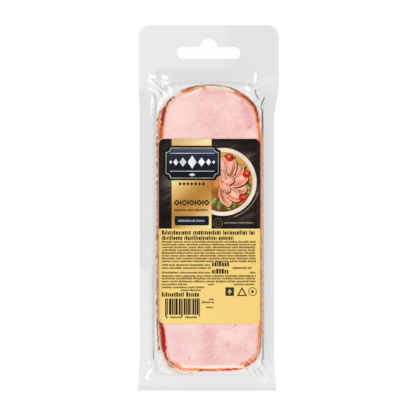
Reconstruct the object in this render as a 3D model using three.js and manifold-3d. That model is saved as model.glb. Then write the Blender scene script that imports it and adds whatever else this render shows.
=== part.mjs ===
// A vacuum pack of smoked ham, lying on its back with the label up.
//
// Two clear films are sealed round one flat piece of ham. They hug the meat, meet in a valley round
// it at mid height, rise over a bevelled frame and end in a flat flange, whose long end is the header
// with the hang hole. A paper sticker is stuck over the middle of the front film.
//
// Millimetres. X is across the pack, +Y runs towards the hang hole and +Z is up, out of the label.
// The origin is under the middle of the pack, on the surface it lies on.

import * as THREE from 'three';
import { mergeVertices } from 'three/addons/utils/BufferGeometryUtils.js';
import Module from 'manifold-3d';

// ---- Driving dimensions ----

// Outline of the sealed film, whose sides draw in beside the meat.
const PACK_LENGTH = 256;
const HEADER = { left: -48.6, right: 49.5, startY: 87 };
const WAIST = { left: -47.8, right: 46.2, topY: 61, bottomY: -98 };
const FOOT = { left: -49.5, right: 47.8 };
const HEADER_CORNER = 8.2;
const FOOT_CORNER = 1;

// Hang hole: a round-ended bar with a dome over its middle.
const HOLE = { x: 0.3, bottomY: 104.3, topY: 112.6, halfLength: 22.2, endRadius: 3.7 };
const DOME = { radius: 6.2, rise: 5.8, fillet: 1.5 };

// The ham: a long flat piece with an arched upper end and a squarer lower one.
const HAM = { x: 1.15, y: -14.4, halfWidth: 36.5, halfLength: 101.1, top: 20 };
const UPPER_END = { depth: 28.7, power: 2.15 };
const LOWER_END = { depth: 25, power: 3 };
const LOWER_TAPER = { amount: 2.2, fromY: -70, toY: -108 };
const EDGE = { width: 4.5, drop: 8 };

// How the underside curves in from the ham's edge: how far inside its outline, and how high.
const UNDERSIDE = [
  { inset: 0, z: 10.4 },
  { inset: 0.1, z: 7 },
  { inset: 1.1, z: 3.2 },
  { inset: 3, z: 1 },
  { inset: 6, z: 0.2 },
  { inset: 9, z: 0 },
];

// The valley where both films meet, on the edge of the formed hollow, and the frame round it.
const HOLLOW = { left: -37.9, right: 38.6, bottom: -117, top: 87.4, corner: 7, z: 10.5 };
const FRAME_WIDTH = { side: 4.2, bottom: 6.2, top: 10.6 };
const FRAME_CORNER = 5;

// The flange.
const SEAL_THICKNESS = 0.5;
const FLANGE_Z = 14.5;
const HEADER_DROOP = 2.2;
const SIDE_WAVE = { height: 0.5, length: 74 };

// Folds of spare film, where the gap between the ham and the hollow's edge is wide enough.
const FOLD = { height: 1.1, onLongSide: 9, onShortSide: 5.4, fromGap: 2, fullGap: 12 };

// The sticker.
const LABEL = { left: -34.6, right: 36.5, bottom: -80.9, top: 48.1, corner: 4, thickness: 0.2 };
const LABEL_GAP = 0.3;

// Points along each side of a ring, closer together towards the corners.
const LONG_SIDE_STEPS = 32;
const SHORT_SIDE_STEPS = 18;

// Where the rings lie over the ham's face, round its edge and over the valley.
const FACE_MARGIN = 1.5;
const FACE_SHARES = [0.35, 0.75, 1];
const EDGE_TURNS = [0, 0.25, 0.5, 0.7, 0.85, 1];
const WEB_SHARES = [0.25, 0.5, 0.78];
const FLANGE_SHARES = [0, 0.5, 1];
const UNDERSIDE_SHARE = 0.5;

// How far the outermost ring lies past the pack's outline, which then trims it.
const OUTER_MARGIN = 2;

const CURVE_SEGMENTS = 10;
const HALVINGS = 30;

const { smoothstep, lerp, clamp } = THREE.MathUtils;

// ---- Flat shapes ----

function packOutline() {
  const top = PACK_LENGTH / 2;
  const bottom = -top;
  const bend = (HEADER.startY - WAIST.topY) / 2;
  const flare = (WAIST.bottomY - bottom) / 2;
  const shape = new THREE.Shape();
  shape.moveTo(FOOT.left + FOOT_CORNER, bottom);
  shape.lineTo(FOOT.right - FOOT_CORNER, bottom);
  shape.absarc(FOOT.right - FOOT_CORNER, bottom + FOOT_CORNER, FOOT_CORNER, -Math.PI / 2, 0);
  shape.quadraticCurveTo(WAIST.right, WAIST.bottomY - flare, WAIST.right, WAIST.bottomY);
  shape.lineTo(WAIST.right, WAIST.topY);
  shape.bezierCurveTo(
    WAIST.right, WAIST.topY + bend, HEADER.right, HEADER.startY - bend, HEADER.right, HEADER.startY,
  );
  shape.lineTo(HEADER.right, top - HEADER_CORNER);
  shape.absarc(HEADER.right - HEADER_CORNER, top - HEADER_CORNER, HEADER_CORNER, 0, Math.PI / 2);
  shape.lineTo(HEADER.left + HEADER_CORNER, top);
  shape.absarc(
    HEADER.left + HEADER_CORNER, top - HEADER_CORNER, HEADER_CORNER, Math.PI / 2, Math.PI,
  );
  shape.lineTo(HEADER.left, HEADER.startY);
  shape.bezierCurveTo(
    HEADER.left, HEADER.startY - bend, WAIST.left, WAIST.topY + bend, WAIST.left, WAIST.topY,
  );
  shape.lineTo(WAIST.left, WAIST.bottomY);
  shape.quadraticCurveTo(
    WAIST.left, WAIST.bottomY - flare, FOOT.left, bottom + FOOT_CORNER,
  );
  shape.absarc(
    FOOT.left + FOOT_CORNER, bottom + FOOT_CORNER, FOOT_CORNER, Math.PI, 1.5 * Math.PI,
  );
  shape.holes.push(hangHole());
  return shape;
}

function hangHole() {
  const { x, bottomY, topY, halfLength, endRadius: r } = HOLE;
  const left = x - halfLength;
  const right = x + halfLength;
  const domeY = topY + DOME.rise - DOME.radius;
  const footAngle = Math.asin((topY + DOME.fillet - domeY) / DOME.radius);
  const foot = DOME.radius * Math.cos(footAngle);
  const path = new THREE.Path();
  path.moveTo(left + r, bottomY);
  path.lineTo(right - r, bottomY);
  path.absarc(right - r, bottomY + r, r, -Math.PI / 2, 0);
  path.absarc(right - r, topY - r, r, 0, Math.PI / 2);
  path.lineTo(x + foot + DOME.fillet, topY);
  path.quadraticCurveTo(x + foot, topY, x + foot, topY + DOME.fillet);
  path.absarc(x, domeY, DOME.radius, footAngle, Math.PI - footAngle);
  path.quadraticCurveTo(x - foot, topY, x - foot - DOME.fillet, topY);
  path.lineTo(left + r, topY);
  path.absarc(left + r, topY - r, r, Math.PI / 2, Math.PI);
  path.absarc(left + r, bottomY + r, r, Math.PI, 1.5 * Math.PI);
  return path;
}

function roundedRectangle({ left, right, bottom, top, corner: r }) {
  const shape = new THREE.Shape();
  shape.moveTo(left + r, bottom);
  shape.absarc(right - r, bottom + r, r, -Math.PI / 2, 0);
  shape.absarc(right - r, top - r, r, 0, Math.PI / 2);
  shape.absarc(left + r, top - r, r, Math.PI / 2, Math.PI);
  shape.absarc(left + r, bottom + r, r, Math.PI, 1.5 * Math.PI);
  return shape;
}

// ---- Rings round the meat ----
// Every ring has the same number of points, so that point i of one ring faces point i of the next,
// and the corners of the hollow, the frame and the flange line up along their mitres.

// Where each point of a ring lies: which side, and how far along it, from 0 to 1.
function ringSteps() {
  const steps = [];
  const sides = [SHORT_SIDE_STEPS, LONG_SIDE_STEPS, SHORT_SIDE_STEPS, LONG_SIDE_STEPS];
  sides.forEach((count, side) => {
    for (let i = 0; i < count; i++) {
      steps.push({ side, along: 0.5 - 0.5 * Math.cos((Math.PI * i) / count) });
    }
  });
  return steps;
}

const STEPS = ringSteps();

// A point of a rectangle with rounded corners, anticlockwise from its lower left corner.
function boxPoint({ side, along }, { left, right, bottom, top, corner }) {
  const x = [lerp(left, right, along), right, lerp(right, left, along), left][side];
  const y = [bottom, lerp(bottom, top, along), top, lerp(top, bottom, along)][side];
  const innerX = clamp(x, left + corner, right - corner);
  const innerY = clamp(y, bottom + corner, top - corner);
  const out = new THREE.Vector2(x - innerX, y - innerY);
  if (out.x !== 0 && out.y !== 0) out.setLength(corner);
  return new THREE.Vector2(innerX, innerY).add(out);
}

// Under 1 inside the ham's outline, 1 on it and over 1 outside.
function hamMeasure(x, y) {
  const end = y > 0 ? UPPER_END : LOWER_END;
  const past = Math.max(0, Math.abs(y) - (HAM.halfLength - end.depth)) / end.depth;
  return (Math.abs(x) / HAM.halfWidth) ** end.power + past ** end.power;
}

// The ham's outline in the direction of a point, found by halving the distance that holds it.
function hamEdge(towards) {
  const direction = new THREE.Vector2(towards.x - HAM.x, towards.y - HAM.y).normalize();
  let inside = 0;
  let outside = HAM.halfLength + HAM.halfWidth;
  for (let i = 0; i < HALVINGS; i++) {
    const middle = (inside + outside) / 2;
    if (hamMeasure(direction.x * middle, direction.y * middle) < 1) inside = middle;
    else outside = middle;
  }
  const point = direction.multiplyScalar(inside);
  const taper = 1 - smoothstep(point.y + HAM.y, LOWER_TAPER.toY, LOWER_TAPER.fromY);
  const leftShare = Math.max(0, -point.x / HAM.halfWidth);
  point.x += LOWER_TAPER.amount * taper * leftShare;
  return new THREE.Vector2(HAM.x + point.x, HAM.y + point.y);
}

const HOLLOW_RING = STEPS.map((step) => boxPoint(step, HOLLOW));
const HAM_RING = HOLLOW_RING.map(hamEdge);

// The ham's outline moved inwards by inset, along its normals.
function insetRing(inset) {
  const count = HAM_RING.length;
  return HAM_RING.map((point, i) => {
    const before = HAM_RING[(i + count - 1) % count];
    const after = HAM_RING[(i + 1) % count];
    const along = new THREE.Vector2().subVectors(after, before).normalize();
    return new THREE.Vector2(point.x - along.y * inset, point.y + along.x * inset);
  });
}

function scaledRing(ring, share) {
  return ring.map((p) => new THREE.Vector2(lerp(HAM.x, p.x, share), lerp(HAM.y, p.y, share)));
}

function betweenRings(inner, outer, share) {
  return inner.map((p, i) => new THREE.Vector2().lerpVectors(p, outer[i], share));
}

const FRAME_RING = STEPS.map((step) => boxPoint(step, {
  left: HOLLOW.left - FRAME_WIDTH.side,
  right: HOLLOW.right + FRAME_WIDTH.side,
  bottom: HOLLOW.bottom - FRAME_WIDTH.bottom,
  top: HOLLOW.top + FRAME_WIDTH.top,
  corner: FRAME_CORNER,
}));

const OUTER_RING = STEPS.map((step) => boxPoint(step, {
  left: FOOT.left - OUTER_MARGIN,
  right: HEADER.right + OUTER_MARGIN,
  bottom: -PACK_LENGTH / 2 - OUTER_MARGIN,
  top: PACK_LENGTH / 2 + OUTER_MARGIN,
  corner: 0,
}));

// ---- Heights ----

function flangeHeight({ x, y }) {
  const header = clamp((y - HEADER.startY) / (PACK_LENGTH / 2 - HEADER.startY), 0, 1);
  const beside = clamp((Math.abs(x) - HOLLOW.right) / (HEADER.right - HOLLOW.right), 0, 1);
  const wave = SIDE_WAVE.height * Math.sin((2 * Math.PI * y) / SIDE_WAVE.length + Math.sign(x));
  return FLANGE_Z - HEADER_DROOP * header ** 2 + wave * beside * (1 - header);
}

// Folds run out from the meat where the gap between it and the hollow's edge is wide.
function foldHeight(i, share) {
  const gap = HAM_RING[i].distanceTo(HOLLOW_RING[i]);
  const { side, along } = STEPS[i];
  const fromCorner = along < 0.5 ? along : along - 1;
  const count = side % 2 ? FOLD.onLongSide : FOLD.onShortSide;
  const room = smoothstep(gap, FOLD.fromGap, FOLD.fullGap);
  const ripple = Math.cos(2 * Math.PI * count * fromCorner);
  return FOLD.height * room * ripple * Math.sin(Math.PI * share);
}

// Where the film leaves the ham's edge.
const WEB_START = HAM.top - EDGE.drop;

function webHeight(i, share) {
  return HOLLOW.z + (WEB_START - HOLLOW.z) * (1 - share) ** 2 + foldHeight(i, share);
}

// ---- Surfaces, as lists of rings of 3-D points ----

function at(ring, z) {
  return ring.map((p, i) => new THREE.Vector3(p.x, p.y, typeof z === 'function' ? z(p, i) : z));
}

// Over the ham's face and round its edge, from the middle outwards.
function frontOfHam(lift) {
  const face = insetRing(EDGE.width + FACE_MARGIN);
  const rings = FACE_SHARES.map((share) => at(scaledRing(face, share), HAM.top + lift));
  for (const turn of EDGE_TURNS) {
    const angle = (turn * Math.PI) / 2;
    const inset = EDGE.width * (1 - Math.sin(angle));
    const z = HAM.top - EDGE.drop * (1 - Math.cos(angle));
    rings.push(at(insetRing(inset), z + lift));
  }
  return rings;
}

// From the ham's edge over the folds, the valley and the frame to the pack's outline.
function sealedFilm(lift) {
  const web = WEB_SHARES.map((share) => at(
    betweenRings(HAM_RING, HOLLOW_RING, share), (p, i) => webHeight(i, share) + lift,
  ));
  const flange = FLANGE_SHARES.map((share) => at(
    betweenRings(FRAME_RING, OUTER_RING, share), (p) => flangeHeight(p) + lift,
  ));
  return [...web, at(HOLLOW_RING, HOLLOW.z + lift), ...flange];
}

// Under the ham, from its edge inwards to the flat that the pack lies on.
function backOfHam() {
  const rings = UNDERSIDE.map(({ inset, z }) => at(insetRing(inset), z));
  const flat = UNDERSIDE.at(-1);
  rings.push(at(scaledRing(insetRing(flat.inset), UNDERSIDE_SHARE), flat.z));
  return rings;
}

// One closed skin through the rings, from a middle point to the other middle point.
function loft(first, rings, last) {
  const count = STEPS.length;
  const points = [first, ...rings.flat(), last];
  const end = points.length - 1;
  const index = [];
  for (let i = 0; i < count; i++) {
    const next = (i + 1) % count;
    index.push(0, 1 + i, 1 + next);
    for (let r = 0; r < rings.length - 1; r++) {
      const a = 1 + r * count;
      const b = a + count;
      index.push(a + i, b + i, b + next, a + i, b + next, a + next);
    }
    const a = 1 + (rings.length - 1) * count;
    index.push(end, a + next, a + i);
  }
  return new THREE.BufferGeometry().setFromPoints(points).setIndex(index);
}

function sealedPack() {
  const back = sealedFilm(-SEAL_THICKNESS).reverse();
  const rings = [...frontOfHam(0), ...sealedFilm(0), ...back, ...backOfHam()];
  const middle = (z) => new THREE.Vector3(HAM.x, HAM.y, z);
  return loft(middle(HAM.top), rings, middle(0));
}

function stickerSheet() {
  const low = frontOfHam(LABEL_GAP);
  const high = frontOfHam(LABEL_GAP + LABEL.thickness);
  const middle = (z) => new THREE.Vector3(HAM.x, HAM.y, z);
  const z = HAM.top + LABEL_GAP;
  return loft(middle(z + LABEL.thickness), [...high, ...low.reverse()], middle(z));
}

// ---- Joining and cutting ----

const wasm = await Module();
wasm.setup();

function solid(geometry) {
  const bare = geometry.clone();
  bare.deleteAttribute('normal');
  bare.deleteAttribute('uv');
  const merged = mergeVertices(bare);
  return new wasm.Manifold(new wasm.Mesh({
    numProp: 3,
    vertProperties: new Float32Array(merged.attributes.position.array),
    triVerts: new Uint32Array(merged.index.array),
  }));
}

function geometryOf(manifold) {
  const mesh = manifold.getMesh();
  const geometry = new THREE.BufferGeometry();
  geometry.setAttribute('position', new THREE.BufferAttribute(mesh.vertProperties, 3));
  geometry.setIndex(new THREE.BufferAttribute(mesh.triVerts, 1));
  geometry.computeVertexNormals();
  return geometry;
}

// What of a geometry lies inside a flat shape, seen from above.
function trimmed(geometry, shape) {
  const cutter = new THREE.ExtrudeGeometry(shape, {
    depth: 3 * HAM.top, bevelEnabled: false, curveSegments: CURVE_SEGMENTS,
  }).translate(0, 0, -HAM.top);
  return geometryOf(solid(geometry).intersect(solid(cutter)));
}

// ---- The pack ----

const pack = new THREE.Group();

function add(name, geometry, material) {
  const mesh = new THREE.Mesh(geometry, new THREE.MeshStandardMaterial(material));
  mesh.name = name;
  pack.add(mesh);
}

add('film_pack', trimmed(sealedPack(), packOutline()), {
  color: 0xf2cdc4, roughness: 0.2, metalness: 0,
});
add('label', trimmed(stickerSheet(), roundedRectangle(LABEL)), {
  color: 0xf6d580, roughness: 0.45, metalness: 0,
});

export default pack;
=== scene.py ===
# A vacuum pack of smoked ham, lying on its back with the label up.
#
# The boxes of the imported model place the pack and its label, and the CAD model's own sizes are
# repeated under Sizes. The film and the ham together replace the node film_pack: the film is one
# closed skin, sealed flat all round, with the ham inside it. The sticker replaces the node label, and
# its print is thin plates stacked on it.
#
# Lengths are millimetres, until make_piece() turns them into metres. X is across the pack, +Y runs
# towards the hang hole and +Z is up, out of the label.

import math
import random
from types import SimpleNamespace as Sizes

import bpy
import numpy as np
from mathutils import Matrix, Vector
from mathutils.geometry import delaunay_2d_cdt


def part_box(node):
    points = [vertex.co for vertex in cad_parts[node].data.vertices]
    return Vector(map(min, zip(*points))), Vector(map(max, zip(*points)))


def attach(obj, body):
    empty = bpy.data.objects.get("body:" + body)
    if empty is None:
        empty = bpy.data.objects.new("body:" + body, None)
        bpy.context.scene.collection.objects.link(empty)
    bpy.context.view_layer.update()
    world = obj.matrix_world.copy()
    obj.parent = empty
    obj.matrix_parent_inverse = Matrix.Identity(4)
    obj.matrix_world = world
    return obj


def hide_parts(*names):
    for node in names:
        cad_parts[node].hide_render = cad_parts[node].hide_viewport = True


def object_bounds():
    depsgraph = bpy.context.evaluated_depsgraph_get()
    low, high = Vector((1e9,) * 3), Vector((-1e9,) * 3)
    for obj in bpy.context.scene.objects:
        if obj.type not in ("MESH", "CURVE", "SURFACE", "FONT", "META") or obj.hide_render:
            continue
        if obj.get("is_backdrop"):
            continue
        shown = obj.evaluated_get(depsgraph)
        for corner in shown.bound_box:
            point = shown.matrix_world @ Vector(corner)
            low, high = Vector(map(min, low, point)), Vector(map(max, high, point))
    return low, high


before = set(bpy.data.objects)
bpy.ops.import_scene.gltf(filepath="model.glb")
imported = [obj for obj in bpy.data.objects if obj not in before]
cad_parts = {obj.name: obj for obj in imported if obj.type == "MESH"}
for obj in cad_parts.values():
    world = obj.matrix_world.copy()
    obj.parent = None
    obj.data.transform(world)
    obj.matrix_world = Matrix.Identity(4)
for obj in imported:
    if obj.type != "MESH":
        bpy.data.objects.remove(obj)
CAD_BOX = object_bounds()

MM = 0.001

# ---- Sizes: the frame's boxes, and the named values of the CAD model in its own units ----

PACK_LOW, PACK_HIGH = (np.array(corner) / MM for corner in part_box("film_pack"))
LABEL_LOW, LABEL_HIGH = (np.array(corner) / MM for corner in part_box("label"))

HEADER = Sizes(left=-48.6, right=PACK_HIGH[0], start=87, corner=8.2)
WAIST = Sizes(left=-47.8, right=46.2, top=61, bottom=-98)
FOOT = Sizes(left=PACK_LOW[0], right=47.8, corner=1)
HOLE = Sizes(x=0.3, bottom=104.3, top=112.6, half_length=22.2, end_radius=3.7)
DOME = Sizes(radius=6.2, rise=5.8, fillet=1.5)

HAM = Sizes(x=1.15, y=-14.4, half_width=36.5, half_length=101.1, top=PACK_HIGH[2])
UPPER_END = Sizes(depth=28.7, power=2.15)
LOWER_END = Sizes(depth=25, power=3)
LOWER_TAPER = Sizes(amount=2.2, start=-70, full=-108)
EDGE = Sizes(width=4.5, drop=8)
UNDERSIDE = Sizes(width=9, rise=10.4, power=3)

HOLLOW = Sizes(left=-37.9, right=38.6, bottom=-117, top=87.4, corner=7, z=10.5)
FRAME_WIDTH = Sizes(side=4.2, bottom=6.2, top=10.6, corner=5)
FLANGE = Sizes(z=14.5, droop=2.2, wave=0.5, wave_length=74)
RELIEF = Sizes(middle=-0.33, bare=0.13, labelled=0.025, ease=8, wavelength=38)
FOLD = Sizes(height=1.1, on_long_side=9, on_short_side=5.4, from_gap=2, full_gap=12)

# The real films, and how far the ham stays inside them.
FILM_THICKNESS = 0.2
HAM_GAP = 0.15

# How far the sticker's paper lies over the film, and its own thickness and corners.
LABEL_GAP = 0.1
PAPER_THICKNESS = 0.1
LABEL_CORNER = 4
# Each layer of print is a step over the last and half a step thick. The first is sunk by a part of its
# step, towards the paper.
INK = Sizes(step=0.013, sunk=0.6, thickness=0.5)

# ---- Fineness of the meshes ----

LONG_SIDE_STEPS = 240
SHORT_SIDE_STEPS = 120
FACE_ZONE = 6
FACE_RINGS = 9
HAM_FACE_RINGS = 16
EDGE_RINGS = 18
WEB_RINGS = 20
BACK_WEB_RINGS = 8
FRAME_RINGS = 14
BACK_FRAME_RINGS = 6
UNDERSIDE_RINGS = 12
FACE_SPACING = 1.6
FLANGE_SPACING = 1.4
CREASE_SPACING = 0.55
OUTER_MARGIN = 2
HALVINGS = 40
# Points this near to each other are one, as is a crossing this small a share from an edge's end.
SAME_PLACE = 1e-7
SAME_SHARE = 1e-3
# How many points far_from() compares with at once.
BLOCK = 200

# ---- Light ----
# How bright a white sheet looks in the open, and how bright one looks under the film, which dims
# the light on its way in and back out.

OPEN_LIGHT = 1.55
UNDER_FILM = 1.19


# ---- Small helpers ----

def smoothstep(value, low, high):
    share = np.clip((value - low) / (high - low), 0, 1)
    return share * share * (3 - 2 * share)


def lerp(a, b, share):
    return a + (b - a) * share


def ripples(x, y, wavelength, seed, waves=9):
    """A smooth uneven field of about -1 to 1, from plane waves in all directions."""
    draws = np.random.default_rng(seed)
    total = np.zeros(np.shape(x))
    for turn in np.arange(waves) / waves:
        angle = math.pi * (turn + draws.uniform(0, 1 / waves))
        number = 2 * math.pi / (wavelength * draws.uniform(0.7, 1.5))
        phase = draws.uniform(0, 2 * math.pi)
        total += np.sin(number * (x * math.cos(angle) + y * math.sin(angle)) + phase)
    return total / math.sqrt(waves)


def distance_to_path(x, y, path):
    """How far points are from a path of straight stretches."""
    nearest = np.full(np.shape(x), np.inf)
    for (x0, y0), (x1, y1) in zip(path, path[1:] or path):
        square = max((x1 - x0) ** 2 + (y1 - y0) ** 2, SAME_PLACE)
        share = np.clip(((x - x0) * (x1 - x0) + (y - y0) * (y1 - y0)) / square, 0, 1)
        away = np.hypot(x - lerp(x0, x1, share), y - lerp(y0, y1, share))
        nearest = np.minimum(nearest, away)
    return nearest


def stroked(x, y, strokes):
    """How strong soft strokes are at points, from 0 to 1.

    A stroke is its half width, its strength and the places of its path. One of a strength over 1 has a
    broad full core."""
    most = np.zeros(np.shape(x))
    for half_width, strength, *path in strokes:
        away = distance_to_path(x, y, path) / half_width
        most = np.maximum(most, strength * np.exp(-(away**2)))
    return np.minimum(most, 1)


# ---- Rings round the ham ----
# All rings have the same columns of points, so point i of one faces point i of the next.

def ring_steps():
    """Which side each column is on, and how far along it, from 0 to 1. Corners get finer steps."""
    sides, alongs = [], []
    for side, count in enumerate((SHORT_SIDE_STEPS, LONG_SIDE_STEPS) * 2):
        even = np.arange(count) / count
        eased = 0.5 - 0.5 * np.cos(np.pi * even)
        sides.append(np.full(count, side))
        alongs.append((even + eased) / 2)
    return np.concatenate(sides), np.concatenate(alongs)


SIDE, ALONG = ring_steps()


def box_ring(left, right, bottom, top, corner):
    """A rectangle with round corners, anticlockwise from its lower left corner."""
    x = np.choose(SIDE, [lerp(left, right, ALONG), right, lerp(right, left, ALONG), left])
    y = np.choose(SIDE, [bottom, lerp(bottom, top, ALONG), top, lerp(top, bottom, ALONG)])
    inner = np.stack([
        np.clip(x, left + corner, right - corner), np.clip(y, bottom + corner, top - corner),
    ], axis=1)
    out = np.stack([x, y], axis=1) - inner
    length = np.hypot(*out.T)
    diagonal = (out[:, 0] != 0) & (out[:, 1] != 0)
    out[diagonal] *= (corner / length[diagonal])[:, None]
    return inner + out


def ham_measure(x, y):
    """Under 1 inside the ham's outline, 1 on it and over 1 outside."""
    depth = np.where(y > 0, UPPER_END.depth, LOWER_END.depth)
    power = np.where(y > 0, UPPER_END.power, LOWER_END.power)
    past = np.maximum(0, np.abs(y) - (HAM.half_length - depth)) / depth
    return (np.abs(x) / HAM.half_width) ** power + past**power


def lower_taper(y):
    """How much of the taper at the ham's lower left applies, from 0 to 1."""
    return 1 - smoothstep(y, LOWER_TAPER.full, LOWER_TAPER.start)


def last_inside(reach, is_inside):
    """How far each column can go before it leaves a shape, up to a reach, by halving."""
    inside, outside = np.zeros((len(SIDE), 1)), np.full((len(SIDE), 1), reach)
    for _ in range(HALVINGS):
        middle = (inside + outside) / 2
        within = is_inside(middle)[:, None]
        inside = np.where(within, middle, inside)
        outside = np.where(within, outside, middle)
    return inside


def ham_ring(towards):
    """The ham's outline in the direction of each point."""
    way = towards - [HAM.x, HAM.y]
    way /= np.hypot(*way.T)[:, None]
    reach = HAM.half_length + HAM.half_width
    ring = way * last_inside(reach, lambda far: ham_measure(*(way * far).T) < 1)
    left_share = np.maximum(0, -ring[:, 0] / HAM.half_width)
    ring[:, 0] += LOWER_TAPER.amount * lower_taper(ring[:, 1] + HAM.y) * left_share
    return ring + [HAM.x, HAM.y]


HOLLOW_RING = box_ring(HOLLOW.left, HOLLOW.right, HOLLOW.bottom, HOLLOW.top, HOLLOW.corner)
FRAME_RING = box_ring(
    HOLLOW.left - FRAME_WIDTH.side, HOLLOW.right + FRAME_WIDTH.side,
    HOLLOW.bottom - FRAME_WIDTH.bottom, HOLLOW.top + FRAME_WIDTH.top, FRAME_WIDTH.corner,
)
HAM_RING = ham_ring(HOLLOW_RING)


def inset_ring(inset):
    """The ham's outline moved inwards along its normals."""
    along = np.roll(HAM_RING, -1, axis=0) - np.roll(HAM_RING, 1, axis=0)
    along /= np.hypot(*along.T)[:, None]
    return HAM_RING + inset * np.stack([-along[:, 1], along[:, 0]], axis=1)


def inside_pack(x, y):
    """Whether points are within the pack's outline, which widens to the header and to the foot."""
    top = PACK_HIGH[1]
    bend = smoothstep(y, WAIST.top, HEADER.start)
    flare = np.clip((WAIST.bottom - y) / (WAIST.bottom + top), 0, 1) ** 2
    right = lerp(WAIST.right, HEADER.right, bend) + (FOOT.right - WAIST.right) * flare
    left = lerp(WAIST.left, HEADER.left, bend) + (FOOT.left - WAIST.left) * flare
    corner = np.where(y > 0, HEADER.corner, FOOT.corner)
    past_y = np.maximum(0, np.abs(y) - (top - corner))
    past_x = np.maximum(0, np.maximum(x - (right - corner), (left + corner) - x))
    return np.hypot(past_x, past_y) < corner


def outline_ring():
    """The pack's outline, where rays out of the frame ring meet it."""
    start = FRAME_RING
    end = box_ring(
        FOOT.left - OUTER_MARGIN, HEADER.right + OUTER_MARGIN,
        PACK_LOW[1] - OUTER_MARGIN, PACK_HIGH[1] + OUTER_MARGIN, OUTER_MARGIN,
    )
    return lerp(start, end, last_inside(1, lambda share: inside_pack(*lerp(start, end, share).T)))


OUTLINE_RING = outline_ring()


def arc(x, y, radius, start, end, steps):
    """Points on an arc, with angles in degrees."""
    angles = np.radians(np.linspace(start, end, steps + 1))
    return np.stack([x + radius * np.cos(angles), y + radius * np.sin(angles)], axis=1)


def hang_hole():
    """A round-ended bar with a dome over its middle, anticlockwise."""
    left, right = HOLE.x - HOLE.half_length, HOLE.x + HOLE.half_length
    r = HOLE.end_radius
    dome_y = HOLE.top + DOME.rise - DOME.radius
    foot_angle = math.degrees(math.asin((HOLE.top + DOME.fillet - dome_y) / DOME.radius))
    foot = DOME.radius * math.cos(math.radians(foot_angle)) + DOME.fillet
    fillet_y = HOLE.top + DOME.fillet
    return np.concatenate([
        arc(right - r, HOLE.bottom + r, r, -90, 0, 8),
        arc(right - r, HOLE.top - r, r, 0, 90, 8),
        arc(HOLE.x + foot, fillet_y, DOME.fillet, 270, 180, 5)[:-1],
        arc(HOLE.x, dome_y, DOME.radius, foot_angle, 180 - foot_angle, 20),
        arc(HOLE.x - foot, fillet_y, DOME.fillet, 360, 270, 5)[1:],
        arc(left + r, HOLE.top - r, r, 90, 180, 8),
        arc(left + r, HOLE.bottom + r, r, 180, 270, 8),
    ])


HOLE_LOOP = hang_hole()

# ---- Heights ----

# Strokes on the sealed film: half width, strength and path. White ones are puckers, which stand up, and
# their matt white is a painted highlight for the glints on them. Grey ones are grooves, which sink, and
# their dim tint, which lets less light through, is painted shade for the dark lines at folds, along the
# valley and beside the meat.
WHITE_STROKES = [
    (0.7, 0.8, (-40.6, 92), (-37.2, 91.8)),
    (1, 0.8, (-40.8, 89.2)),
    (0.45, 0.45, (-38.6, 88.4), (-33, 82.8)),
    (1.1, 0.95, (-31.2, 91.7), (-29.4, 91.2)),
    (0.7, 0.4, (-31.9, 90.2), (-31.7, 85.3)),
    (0.8, 0.7, (-29.8, 88.2), (-28.9, 87)),
    (0.9, 0.6, (-40.8, 83.4), (-40, 82.8)),
    (0.6, 0.3, (-40, 82.9), (-37.7, 81.3), (-35.1, 79.3)),
    (0.9, 0.85, (-31, 80.3), (-30.2, 79.4)),
    (1, 0.5, (-27, 84), (-25.9, 79)),
    (0.9, 0.4, (-21.8, 84.4)),
    (1.2, 0.7, (-29.3, 78.6), (-32, 75.4), (-33.7, 72.4)),
    (0.6, 0.7, (-34.4, 70.9), (-35, 69.4)),
    (0.7, 1, (-39, 77), (-39.5, 70), (-39.7, 64.6)),
    (0.9, 0.1, (-39.8, 64), (-39.6, 20), (-38.9, -60)),
    (0.4, 0.4, (-36.9, -78), (-36.7, -98)),
    (0.7, 0.95, (33.2, 93.6), (32.9, 89)),
    (1.1, 0.8, (26.7, 84), (28.6, 82.7)),
    (0.8, 0.35, (26.9, 80.6), (31.5, 76)),
    (0.45, 0.45, (36.4, 73), (36.9, 66), (37.3, 50)),
    (1, 0.8, (-41.2, -108.2)),
    (0.6, 0.6, (-40.2, -113.9), (-42.2, -116.3), (-42.8, -119.4)),
    (0.9, 0.85, (-40.3, -114)),
    (1, 0.85, (-42.7, -118.8)),
    (0.6, 0.25, (-39.4, -117.3), (-39.9, -119.4)),
    (0.5, 0.5, (34, -111)),
    (0.4, 0.5, (39, -117.4)),
    (0.9, 0.05, (38.5, -113.6), (41.6, -116.2)),
    (1.4, 0.05, (35.2, -117.6), (39.5, -123)),
    (0.8, 0.15, (-33, -112.6), (-27.6, -116.4)),
]
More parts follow.
